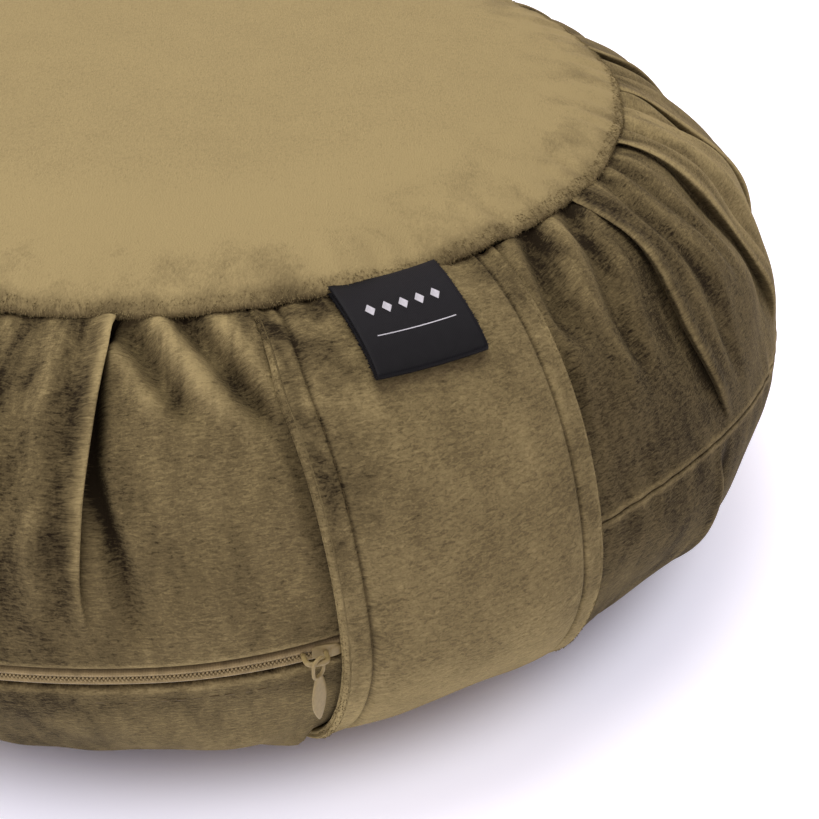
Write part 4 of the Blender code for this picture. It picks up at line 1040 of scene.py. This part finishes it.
def top_panel_points(wall, columns=520, rows=96):
    """The crown: height = seam + H sqrt(1 - s^n) with s the share of the radius, its rim swelled out
    over the seam, tucked down into it and closed by an inner layer one cloth lower. The rim is
    dented and crushed, with painted shade where it rolls down and under, more so on some stretches
    than on others; a painted highlight lies on the front slope."""
    s = 1.0 - (1.0 - np.linspace(0.0, 1.0, rows)) ** 2.2
    crown = TOP_HIGH[2] - wall.top
    height = wall.top + crown * np.sqrt(1.0 - s ** wall.size.crown_power)
    swell = CROWN_SWELL * bell((height - wall.top - 0.0016) / 0.0026)
    outer = np.stack((TOP_HIGH[0] * s + swell * ease((s - 0.6) / 0.35), height), -1)
    tuck = np.array(CROWN_TUCK) + (TOP_HIGH[0], wall.top)
    inner = outer[::-8] * (0.975, 1.0) - (0.0, wall.size.cloth)
    points = turned_points(np.concatenate((outer, tuck, inner[1:])), columns)
    x, y = points[..., 0], points[..., 1]
    azimuth = np.degrees(np.arctan2(y, x))
    share = np.hypot(x, y) / TOP_HIGH[0]
    near_rim = ease((share - 0.86) / 0.10)
    soft = np.sin(61.0 * x + 17.0 * y + 0.6) * np.sin(43.0 * y - 21.0 * x + 1.9)
    dents = 0.0006 * ripple(azimuth, 12, 30, 11) + 0.0003 * ripple(azimuth, 50, 110, 12)
    points[..., 2] += 0.0005 * soft * (1.0 - share ** 6) + near_rim * dents
    points[..., :2] *= (1.0 + near_rim * 0.0026 * ripple(azimuth, 9, 26, 13))[..., None]
    patchy = np.clip(ripple(azimuth, 10, 48, 15), 0.0, 2.0)
    calm = 1.0 - 0.8 * bell(turn_between(azimuth, 6.0) / 40.0)
    under = ease((share - 0.965) / 0.035)
    front = bell(turn_between(azimuth, -88.0) / 52.0) * bell((share - 0.80) / 0.16)
    # rim: a painted highlight on the front slope, and paleness that wavers along the rim; shade: painted
    # shade near the rim and where it rolls under, patchy, and calmer round azimuth 6
    marks = {
        "rim": 0.2 * near_rim * ripple(azimuth, 30, 80, 14) + 0.6 * front,
        "shade": near_rim * (0.10 + 0.45 * patchy * calm) + 0.8 * under * calm,
        "crush": ease((share - 0.74) / 0.18),
    }
    return points, marks


def bottom_panel_points(wall, columns=360):
    """A flat sheet: height 0 inside, its rim rolled up by a quarter circle into the bottom seam."""
    roll = 0.4 * wall.size.cloth
    flat = BASE_HIGH[0] - roll
    turn = np.linspace(0.0, math.pi / 2, 6)
    inside = np.linspace(0.0, flat, 24)
    low = np.stack((inside, 0.0 * inside), -1)
    bend = np.stack((flat + roll * np.sin(turn), roll - roll * np.cos(turn)), -1)[1:]
    high = np.stack((flat + roll * np.cos(turn), wall.size.cloth - roll + roll * np.sin(turn)), -1)
    back = np.stack((inside[::-1], wall.size.cloth + 0.0 * inside), -1)[1:]
    return turned_points(np.concatenate((low, bend, high, back)), columns)


def disc_cloth(points):
    """A cloth map that is the view from above, with the closing column repeated."""
    return np.concatenate((points, points[:, :1]), 1)[..., :2]


# ---------------------------------------------------------------- handle

def strap_surface(wall, across, path, lift):
    """Points of the handle: across in metres from its middle line, lift above its inner face, which
    arches over the wall between its two edges."""
    beyond = np.abs(across) - wall.strap_half_width(path)
    arch = STRAP_ARCH * (1.0 - wall.strap_end(path)) * ease((beyond + 0.020) / 0.021)
    offset = wall.strap_offset(path) - arch + lift - wall.strap_flat(across, path)
    turn = np.degrees(np.arcsin(across / (wall.section(path)[0] + offset)))
    return wall.place(wall.strap_azimuth(path) + turn, path, offset)


def strap_top(wall, across, path):
    """Height of the handle's outer face: a low swell between two stitched grooves, soft edges, and
    small puckers where both ends are gathered into the seams."""
    stitch = wall.strap_half_width(path) - wall.size.strap_stitch_inset
    inside = np.clip(1.0 - (across / stitch) ** 2, 0.0, 1.0)
    groove = bell((np.abs(across) - stitch) / 0.0006)
    near_top = np.exp(-(wall.length - path) / 0.010)
    pucker = np.sin(across / 0.0013 + 1.0) + 0.7 * np.sin(across / 0.00085 + 2.0)
    uneven = np.sin(path / 0.011 + 40.0 * across) * np.sin(across / 0.009 + 0.5)
    height = wall.size.cloth - 0.0005 + 0.0008 * np.sqrt(inside) - 0.0009 * groove
    return height + 0.00045 * near_top * pucker + 0.00035 * uneven * (1.0 - wall.strap_end(path))


def strap_points(wall, rows=230):
    """The handle's section carried from the bottom seam to the top seam: its outer face, both edges
    as two rolled layers with a groove between them, and its inner face."""
    path = np.linspace(0.0, wall.length, rows)[:, None]
    half = wall.strap_half_width(path)
    face = np.sin(np.linspace(-0.5 * math.pi, 0.5 * math.pi, 91))
    turn = np.linspace(0.5 * math.pi, -0.5 * math.pi, 15)[1:-1]
    under = np.linspace(1.0, -1.0, 9)
    flat = half - STRAP_EDGE
    middle = 0.5 * strap_top(wall, flat, path)
    edge_x = flat + STRAP_EDGE * (1.0 - 0.42 * bell(turn / 0.30)) * np.cos(turn)
    edge_z = middle + middle * np.sin(turn)
    x = np.concatenate((face * flat, edge_x, under * flat, -edge_x[:, ::-1]), 1)
    z = np.concatenate((strap_top(wall, face * flat, path), edge_z, 0.0 * under + 0.0 * path,
                        edge_z[:, ::-1]), 1)
    end_in = np.array(STRAP_ENDS)[:, None]
    x = np.concatenate((x[:1], x[:1], x, x[-1:], x[-1:]))
    z = np.concatenate((z[:1] - end_in, z, z[-1:] - end_in[::-1]))
    run = np.concatenate((-end_in, path, wall.length + end_in[::-1]))
    path = np.clip(run, 0.0, wall.length)
    points = strap_surface(wall, x, path + 0.0 * x, z)
    ring = np.append(x + 0.15, x[:, :1] + 0.15 + 2.0 * half[0, 0], 1)
    cloth = np.stack(np.broadcast_arrays(ring, run), -1)
    half = wall.strap_half_width(path)
    from_edge = np.abs(x) - half
    stitched = bell((from_edge + wall.size.strap_stitch_inset) / 0.0004)
    down = wall.length - path
    top_left = bell(down / 0.045) * ease((-x - 0.010) / 0.010)
    streaky = 0.5 + 0.5 * np.sin(x / 0.0021 + 2.0 + 1.2 * np.sin(down / 0.006))
    lit = 1.0 - 0.8 * bell(down / 0.035)
    # rim: a painted highlight on the rolled edges, dimmer near the top seam, and painted shade just inside
    # them; shade: painted shade in the stitch grooves, darker at the top left and in streaks near the top
    # seam, and lighter low on the handle
    marks = {
        "rim": 0.55 * lit * bell((from_edge + 0.0005) / 0.0012)
        - 0.25 * bell((from_edge + 0.0032) / 0.0014),
        "shade": 1.1 * stitched + 0.75 * top_left + 0.8 * np.exp(-down / 0.014) * streaky
        - 0.55 * bell((path - 0.040) / 0.03),
        "crush": 1.3 * np.exp(-down / 0.022) + 0.9 * top_left + 0.5 * np.exp(-path / 0.03)
        + 0.5 * bell((from_edge + 0.004) / 0.005),
    }
    return points, cloth, marks


def strap_stitch_points(wall):
    """Two rows of topstitches, each stitch sunk in its groove."""
    size = wall.size
    pitch = STITCH_PITCH * size.stitch_length
    first = STITCH_MARGIN + np.arange(int((wall.length - 2.0 * STITCH_MARGIN) / pitch)) * pitch
    path = np.stack((first, first + size.stitch_length), -1)
    rows = []
    for side in (-1.0, 1.0):
        across = side * (wall.strap_half_width(path) - size.strap_stitch_inset)
        lift = strap_top(wall, across, path) - 0.00008
        ends = strap_surface(wall, across, path, lift)
        above = strap_surface(wall, across[:, :1], path[:, :1], lift[:, :1] + 0.001)[:, 0]
        rows.append(bars(ends[:, 0], ends[:, 1], above - ends[:, 0], STITCH_RADIUS))
    return np.concatenate(rows)


# ---------------------------------------------------------------- label

def label_surface(wall, across, down, lift):
    """Points of the label: down from the seam along the handle, across from its middle."""
    size = wall.size
    path = wall.length - down
    stand = 0.0008 * ease((down - 0.012) / 0.016)
    curl = 0.0004 * (2.0 * across / size.label_width) ** 2
    offset = wall.strap_offset(path) + size.cloth + LABEL_LIFT + GAP + stand + lift
    middle = LABEL_AZIMUTH[0] + (LABEL_AZIMUTH[1] - LABEL_AZIMUTH[0]) * down / size.label_length
    turn = np.degrees(np.arcsin(across / (wall.section(path)[0] + offset)))
    return wall.place(middle + turn, path, offset + curl)


def label_points(wall, columns=33, rows=26):
    """A strip out of the seam, round a small fold and back on itself, as a sheet of no thickness."""
    size = wall.size
    run = size.label_length - LABEL_BEND
    leaf = np.linspace(-LABEL_ALLOWANCE, run, rows)
    turn = np.linspace(-0.5 * math.pi, 0.5 * math.pi, 9)[1:-1]
    down = np.concatenate((leaf, run + LABEL_BEND * np.cos(turn), leaf[::-1]))[:, None]
    lift = np.concatenate((0.0 * leaf, LABEL_BEND * (1.0 + np.sin(turn)),
                           0.0 * leaf + 2.0 * LABEL_BEND))[:, None]
    across = np.linspace(-0.5, 0.5, columns)[None, :] * size.label_width
    points = label_surface(wall, across, np.maximum(down, 0.0), lift + np.minimum(down, 0.0))
    length = np.concatenate((leaf, run + LABEL_BEND * (turn + 0.5 * math.pi),
                             run + LABEL_BEND * math.pi + (run - leaf[::-1])))
    cloth = np.stack(np.broadcast_arrays(across, length[:, None]), -1)
    return points, cloth


def label_selvedge_points(wall):
    """Loops of the weft along the label's side edges, at both leaves, each a tiny bar."""
    size = wall.size
    rng = np.random.default_rng(21)
    down = np.arange(0.0012, size.label_length - 0.0005, 0.00042)
    grids = []
    for side in (-1.0, 1.0):
        edge = side * 0.5 * size.label_width
        for leaf_lift in (0.0, 2.0 * LABEL_BEND):
            reach = rng.uniform(0.0002, 0.0006, len(down))
            slip = rng.uniform(-0.0003, 0.0003, len(down))
            rise = rng.uniform(-0.0003, 0.0003, len(down))
            start = label_surface(wall, edge - side * 0.0004, down, leaf_lift)
            end = label_surface(wall, edge + side * reach, np.maximum(down + slip, 0.0),
                                leaf_lift + rise)
            above = label_surface(wall, edge, down, leaf_lift + 0.001)
            grids.append(bars(start, end, above - start, 0.00014, sides=4, steps=5))
    return np.concatenate(grids)


def label_motif_points(wall):
    """A generic woven motif on the label's outer leaf: a row of small lozenges over a thin rule."""
    width = wall.size.label_width
    lift = 2.0 * LABEL_BEND + MOTIF_LIFT
    across, down = np.meshgrid(np.linspace(-1.0, 1.0, 9), np.linspace(-1.0, 1.0, 9))
    grids = [label_surface(wall, spot * width + MOTIF_QUARTER[0] * (across + down),
                           MOTIF_DOWN + MOTIF_QUARTER[1] * (across - down), lift)
             for spot in MOTIF_SPOTS]
    rule = label_surface(wall, RULE_HALF[0] * width * across, RULE_DOWN + RULE_HALF[1] * down, lift)
    return np.stack((*grids, rule))


# ---------------------------------------------------------------- zip

def zip_line(wall, step):
    """Azimuths along the zip at an even step of arc length round the widest level."""
    return np.arange(ZIP_END, ZIP_START, wall.turned(step))


def zip_tape_points(wall):
    """The tape as one strip: raised towards the coil, with a slit there, its outer parts sewn to the
    inner side of both bands, behind the lips."""
    azimuth = zip_line(wall, TAPE_STEP)[:, None]
    across = np.concatenate((-TAPE_RIGHT[:0:-1], TAPE_RIGHT))
    lift = np.concatenate((TAPE_RISE[:0:-1], TAPE_RISE))
    ring_x = np.concatenate((across, across[::-1]))
    ring_lift = np.concatenate((lift, lift[::-1] - TAPE_THICKNESS))
    points = wall.place(azimuth, wall.join(azimuth) + ring_x, ring_lift)
    ring = np.append(ring_x, ring_x[:1]) + 0.01
    run = np.radians(azimuth) * wall.size.widest_radius
    return points, np.stack(np.broadcast_arrays(run, ring), -1)


def zip_bars(wall, at, turn, path, rise, thickness):
    """One bar from each azimuth to so many degrees on, between two offsets from the seam and two
    heights over the wall."""
    start = wall.place(at, wall.join(at) + path[0], rise[0])
    end = wall.place(at + turn, wall.join(at) + path[1], rise[1])
    above = wall.place(at, wall.join(at), 0.002)
    return bars(start, end, above - start, thickness)


def zip_coil_points(wall):
    """The coil's turns, one small bar for each on either side of the slit, slanted like a helix."""
    turn = wall.turned(wall.size.zip_pitch)
    return np.concatenate([
        zip_bars(wall, zip_line(wall, wall.size.zip_pitch) + shift * turn, COIL_SLANT * turn,
                 (-side * COIL_ENDS[0], side * COIL_ENDS[1]), COIL_RISE, COIL_RADIUS)
        for side, shift in ((-1.0, 0.0), (1.0, 0.5))])


def slider_place(wall):
    """The slider's matrix: X along the zip, Y up the wall and Z out of it."""
    path = float(wall.join(np.array(SLIDER_AZIMUTH)))
    normal_r, normal_z = (float(part) for part in wall.section(path)[2:])
    turn = math.radians(SLIDER_AZIMUTH)
    along = np.array((-math.sin(turn), math.cos(turn), 0.0))
    out = np.array((normal_r * math.cos(turn), normal_r * math.sin(turn), normal_z))
    place = np.eye(4)
    place[:3, 0] = along
    place[:3, 1] = np.cross(out, along)
    place[:3, 2] = out
    place[:3, 3] = wall.place(SLIDER_AZIMUTH, path)
    return place


def moved(grids, place):
    """Grids of points carried by a matrix."""
    return [points @ place[:3, :3].T + place[:3, 3] for points in grids]


def pillow(half, power, rows=17, columns=40):
    """A superellipsoid: each axis is half times a signed power of the sphere's own coordinate."""
    rise = np.linspace(-0.5 * math.pi, 0.5 * math.pi, rows)[:, None]
    turn = full_turn(columns)
    parts = (np.cos(rise) * np.cos(turn), np.cos(rise) * np.sin(turn), np.sin(rise) + 0.0 * turn)
    return np.stack([h * signed_power(p, 2.0 / power) for h, p in zip(half, parts)], -1)


def tube(line, radius, up, columns=14):
    """A round tube carried along a line of points, its frame kept square to up."""
    along = np.gradient(line, axis=0)
    side = unit(np.cross(along, up))
    lift = unit(np.cross(side, along))
    turn = full_turn(columns)[None, :, None]
    return line[:, None] + radius * (side[:, None] * np.cos(turn) + lift[:, None] * np.sin(turn))


def closed_ends(grid):
    """A tube's grid with its first and last rings drawn together to poles."""
    first, last = (np.broadcast_to(ring.mean(0), (1, *ring.shape)) for ring in (grid[0], grid[-1]))
    return np.concatenate((first, grid, last))


def slider_grids(wall):
    """The slider: a soft-cornered plate, its nose, and its bridge as a round bar bent over it."""
    thick = SLIDER_HALF[2]
    plate = pillow(SLIDER_HALF, 4.0) + (SLIDER_SHIFT, 0.0, thick - SLIDER_SINK)
    nose = pillow(NOSE_HALF, 3.0) + (NOSE_SHIFT, 0.0, 1.2 * thick - SLIDER_SINK)
    t = np.linspace(0.0, math.pi, 25)
    x = BRIDGE_CENTRE - BRIDGE_HALF_LENGTH * signed_power(np.cos(t), BRIDGE_CORNER)
    rise = (BRIDGE_HEIGHT + SLIDER_SINK) * signed_power(np.sin(t), BRIDGE_CORNER)
    bridge = tube(np.stack((x, 0.0 * t, rise - SLIDER_SINK), -1), BRIDGE_RADIUS, (0.0, 1.0, 0.0))
    return moved((plate, nose, closed_ends(bridge)), slider_place(wall))


def pull_grids(wall):
    """The pull: a ring for the bridge and a flat teardrop, width = neck + swell sin(pi t), times
    sqrt(1 - t^6) so that the tip is round."""
    tilt = Matrix.Rotation(math.radians(PULL_TILT), 4, "X") @ Matrix.Rotation(
        math.radians(PULL_TURN), 4, "Y")
    hang = Matrix.Translation((BRIDGE_CENTRE, EYE_DROP + GAP - EYE_HALF[1] + EYE_RADIUS,
                               BRIDGE_HEIGHT))
    turn = np.linspace(0.0, 2.0 * math.pi, 33)
    loop = np.stack((EYE_HALF[0] * signed_power(np.cos(turn), EYE_CORNER),
                     EYE_HALF[1] * signed_power(np.sin(turn), EYE_CORNER), 0.0 * turn), -1)
    ring = tube(loop, EYE_RADIUS, (0.0, 0.0, 1.0), 12)
    t = np.linspace(0.0, 1.0, 40)[:, None]
    width = PULL_NECK_HALF_WIDTH + (PULL_HALF_WIDTH - PULL_NECK_HALF_WIDTH) * np.sin(math.pi * t)
    width = width * np.sqrt(np.clip(1.0 - t ** 6, 0.0, 1.0)) + 1e-5
    thick = PULL_HALF_THICKNESS * np.sqrt(np.clip(1.0 - t ** 8, 0.0, 1.0)) + 1e-5
    down = 0.0002 - EYE_HALF[1] - (PULL_LENGTH - EYE_HALF[1]) * t
    turn = full_turn(20)
    x = signed_power(np.cos(turn), 0.55)
    z = signed_power(np.sin(turn), 0.8)
    drop = np.stack((width * x, down + 0.0 * x, thick * z), -1)
    return moved((ring, closed_ends(drop)), slider_place(wall) @ np.array(hang @ tilt))


def zip_row_points(wall):
    """One row of topstitches on the lower band, just under the zip."""
    stitch = wall.size.stitch_length
    first = zip_line(wall, ZIP_ROW_PITCH * stitch)
    first = first[first < ZIP_ROW_END]
    start, end = (wall.place(at, wall.join(at) - ZIP_ROW_DROP, -ZIP_ROW_SINK)
                  for at in (first, first + wall.turned(stitch)))
    above = wall.place(first, wall.join(first) - ZIP_ROW_DROP, 0.002)
    return bars(start, end, above - start, ZIP_ROW_RADIUS)


# ---------------------------------------------------------------- operators

class CushionOperator(bpy.types.Operator):
    """What the operators share: their options, and a way to their settings."""
    bl_options = {"REGISTER", "UNDO"}

    def settings(self, context):
        """The plain wall for the chosen sizes, and the chosen colours."""
        return Wall(context.scene.zafu_sizes), context.scene.zafu_colours


class ZAFU_OT_bands(CushionOperator):
    """Makes the pleated upper and lower bands round the filling"""
    bl_idname = "zafu.bands"
    bl_label = "Side bands"

    def execute(self, context):
        wall, colours = self.settings(context)
        finish = velour("Sheared_velour_band", colours)
        for name in BAND_COLUMNS:
            points, cloth, marks = band_points(wall, name)
            mesh = grid_mesh(name, points, cloth, True, True, marks)
            made = add_piece(name, mesh, finish, "filled_side_wall")
        return {"FINISHED"}


class ZAFU_OT_panels(CushionOperator):
    """Makes the round top and bottom panels"""
    bl_idname = "zafu.panels"
    bl_label = "Panels"

    def execute(self, context):
        wall, colours = self.settings(context)
        points, marks = top_panel_points(wall)
        mesh = grid_mesh("crown_panel", points, disc_cloth(points), False, True, marks, caps=True)
        crown = add_piece("crown_panel", mesh, velour("Sheared_velour_crown", colours),
                          "top_panel")
        # The rows that roll over the crown's rim
        tufts = pile_tufts(points, (79, 94.9), (0, points.shape[1]), CROWN_TUFTS, (0.0004, 0.0011),
                           1.1, 31)
        fringe = add_piece("crown_fringe", many_grids_mesh("crown_fringe", tufts),
                           velour("Loose_velour_tufts_crown", colours))
        points = bottom_panel_points(wall)
        mesh = grid_mesh("base_panel", points, disc_cloth(points), False, True, caps=True)
        base = add_piece("base_panel", mesh, velour("Sheared_velour_base", colours),
                         "bottom_panel")
        return {"FINISHED"}


class ZAFU_OT_strap(CushionOperator):
    """Makes the handle with its topstitching"""
    bl_idname = "zafu.strap"
    bl_label = "Handle"

    def execute(self, context):
        wall, colours = self.settings(context)
        points, cloth, marks = strap_points(wall)
        mesh = grid_mesh("carry_strap", points, cloth, False, True, marks, caps=True)
        strap = add_piece("carry_strap", mesh, velour("Sheared_velour_handle", colours),
                          "handle_strap")
        thread = woven_thread("Spun_polyester_thread", colours.thread, (0.0004, 0.0004), 0.8, 0.2)
        stitches = many_grids_mesh("strap_stitches", strap_stitch_points(wall))
        stitches = add_piece("strap_stitches", stitches, thread)
        # The columns of both rolled edges, on the rows that lie free of the seams
        tufts = np.concatenate([
            pile_tufts(points, (55, len(points) - 8), edge, STRAP_TUFTS, (0.0002, 0.0005), 0.6, seed)
            for edge, seed in (((89, 103), 32), ((113, 126), 33))])
        fringe = add_piece("strap_fringe", many_grids_mesh("strap_fringe", tufts),
                           velour("Loose_velour_tufts_handle", colours))
        return {"FINISHED"}


class ZAFU_OT_label(CushionOperator):
    """Makes the folded label with a generic motif"""
    bl_idname = "zafu.label"
    bl_label = "Label"

    def execute(self, context):
        wall, colours = self.settings(context)
        satin = woven_thread("Woven_polyester_satin", colours.label_black, (0.00042, 0.0002), 0.45,
                             0.02)
        white = woven_thread("Bleached_polyester_weft", colours.thread_white, (0.0003, 0.0003), 0.6,
                             0.1)
        points, cloth = label_points(wall)
        leaf = add_piece("woven_label", grid_mesh("woven_label", points, cloth), satin,
                         "label")
        thick = leaf.modifiers.new("Thickness", "SOLIDIFY")
        thick.thickness = LABEL_THICKNESS
        thick.offset = 0.0
        edge = many_grids_mesh("label_selvedge", label_selvedge_points(wall))
        edge = add_piece("label_selvedge", edge, satin)
        motif = many_grids_mesh("label_motif", label_motif_points(wall), False, (0.003, 0.003), (0, 0))
        motif = add_piece("label_motif", motif, white)
        return {"FINISHED"}


class ZAFU_OT_zip(CushionOperator):
    """Makes the zip's tape, coil, slider and pull, and the stitching beside it"""
    bl_idname = "zafu.zip"
    bl_label = "Zip"

    def execute(self, context):
        wall, colours = self.settings(context)
        tape = woven_thread("Woven_polyester_tape", colours.zip_coil, (0.0006, 0.0005), 0.75, 0.3)
        nylon = woven_thread("Extruded_nylon_coil", colours.zip_coil, (0.0009, 0.0009), 0.4, 0.0)
        enamel = enamelled_zinc(colours)
        points, cloth = zip_tape_points(wall)
        mesh = grid_mesh("zip_webbing", points, cloth, False, True, caps=True)
        webbing = add_piece("zip_webbing", mesh, tape, "zip_tape")
        coil = many_grids_mesh("zip_coil", zip_coil_points(wall))
        coil = add_piece("zip_coil", coil, nylon)
        for name, grids, node in (("slider_body", slider_grids(wall), "zip_slider"),
                                  ("slider_pull", pull_grids(wall), "zip_pull")):
            add_piece(name, joined_mesh(name, grids), enamel, node)
        stitches = many_grids_mesh("zip_stitches", zip_row_points(wall))
        add_piece("zip_stitches", stitches, bpy.data.materials["Spun_polyester_thread"])
        return {"FINISHED"}


class ZAFU_OT_stage(CushionOperator):
    """Sets the floor, the soft lights and the camera"""
    bl_idname = "zafu.stage"
    bl_label = "Stage"

    def floor(self, scene):
        """The table: one flat square at height 0, which belongs to the stage and not to the part."""
        mesh = bpy.data.meshes.new("studio_floor")
        corners = [(x * TABLE_HALF, y * TABLE_HALF, 0.0) for x, y in ((-1, -1), (1, -1), (1, 1), (-1, 1))]
        mesh.from_pydata(corners, [], [(0, 1, 2, 3)])
        mesh.materials.append(studio_table(scene.zafu_colours))
        made = bpy.data.objects.new("studio_floor", mesh)
        scene.collection.objects.link(made)

    def lamp(self, scene, name, place, aim, size, power, colour):
        """A round soft lamp, turned so that its -Z runs from its place to its aim."""
        lamp = bpy.data.lights.new(name, "AREA")
        lamp.shape = "DISK"
        lamp.size = size
        lamp.energy = power
        lamp.color = linear(colour)[:3]
        made = bpy.data.objects.new(name, lamp)
        made.location = place
        way = Vector(aim) - Vector(place)
        made.rotation_euler = way.to_track_quat("-Z", "Y").to_euler()
        scene.collection.objects.link(made)

    def room(self, scene):
        """White walls to the left of the table and a darker room to its right: the light's strength
        runs evenly from one to the other with the direction's X."""
        world = bpy.data.worlds.new("Studio")
        world.use_nodes = True
        tree = world.node_tree
        way = add_node(tree, "ShaderNodeSeparateXYZ", {
            "Vector": add_node(tree, "ShaderNodeTexCoord").outputs["Generated"]})
        strength = add_node(tree, "ShaderNodeMapRange", {
            "Value": way.outputs["X"], "From Min": -0.9, "From Max": 0.9, "To Min": ROOM_LIGHT[0],
            "To Max": ROOM_LIGHT[1]})
        background = tree.nodes["Background"].inputs
        background["Color"].default_value = linear(ROOM_COLOUR)
        tree.links.new(strength.outputs["Result"], background["Strength"])
        scene.world = world
        scene.view_settings.view_transform = "Standard"

    def camera(self, scene):
        """The photograph's camera: it looks along +Y, pitched up from straight down, without a roll."""
        camera = bpy.data.cameras.new("Camera")
        camera.lens = CAMERA_LENS
        camera.sensor_width = 36.0
        camera.clip_start = 0.01
        held = bpy.data.objects.new("Camera", camera)
        held.location = CAMERA_PLACE
        held.rotation_euler = (math.radians(CAMERA_PITCH), 0.0, 0.0)
        scene.collection.objects.link(held)
        scene.camera = held

    def execute(self, context):
        self.floor(context.scene)
        for name, settings in LAMPS.items():
            self.lamp(context.scene, name, *settings)
        self.room(context.scene)
        self.camera(context.scene)
        return {"FINISHED"}


class ZAFU_PT_panel(bpy.types.Panel):
    """Lists the cushion's settings and its operators in the sidebar"""
    bl_label = "Zafu"
    bl_idname = "ZAFU_PT_panel"
    bl_space_type = "VIEW_3D"
    bl_region_type = "UI"
    bl_category = "Zafu"

    def draw(self, context):
        """One box for each group of settings, then one button for each operator."""
        for settings in (context.scene.zafu_sizes, context.scene.zafu_colours):
            box = self.layout.box()
            for name in settings.bl_rna.properties.keys()[2:]:
                box.prop(settings, name)
        for operator in OPERATORS:
            self.layout.operator(operator.bl_idname)


OPERATORS = (ZAFU_OT_bands, ZAFU_OT_panels, ZAFU_OT_strap, ZAFU_OT_label, ZAFU_OT_zip, ZAFU_OT_stage)
CLASSES = (ZafuSizes, ZafuColours, *OPERATORS, ZAFU_PT_panel)


def register():
    """Adds the classes, and both groups of settings to the scene."""
    for cls in CLASSES:
        bpy.utils.register_class(cls)
    bpy.types.Scene.zafu_sizes = bpy.props.PointerProperty(type=ZafuSizes)
    bpy.types.Scene.zafu_colours = bpy.props.PointerProperty(type=ZafuColours)


def unregister():
    """Takes away what register adds, the last first."""
    del bpy.types.Scene.zafu_colours
    del bpy.types.Scene.zafu_sizes
    for cls in reversed(CLASSES):
        bpy.utils.unregister_class(cls)


def main():
    """Builds the pieces and the stage."""
    register()
    bpy.ops.zafu.bands()
    bpy.ops.zafu.panels()
    bpy.ops.zafu.strap()
    bpy.ops.zafu.label()
    bpy.ops.zafu.zip()
    bpy.ops.zafu.stage()


if __name__ == "__main__":
    main()
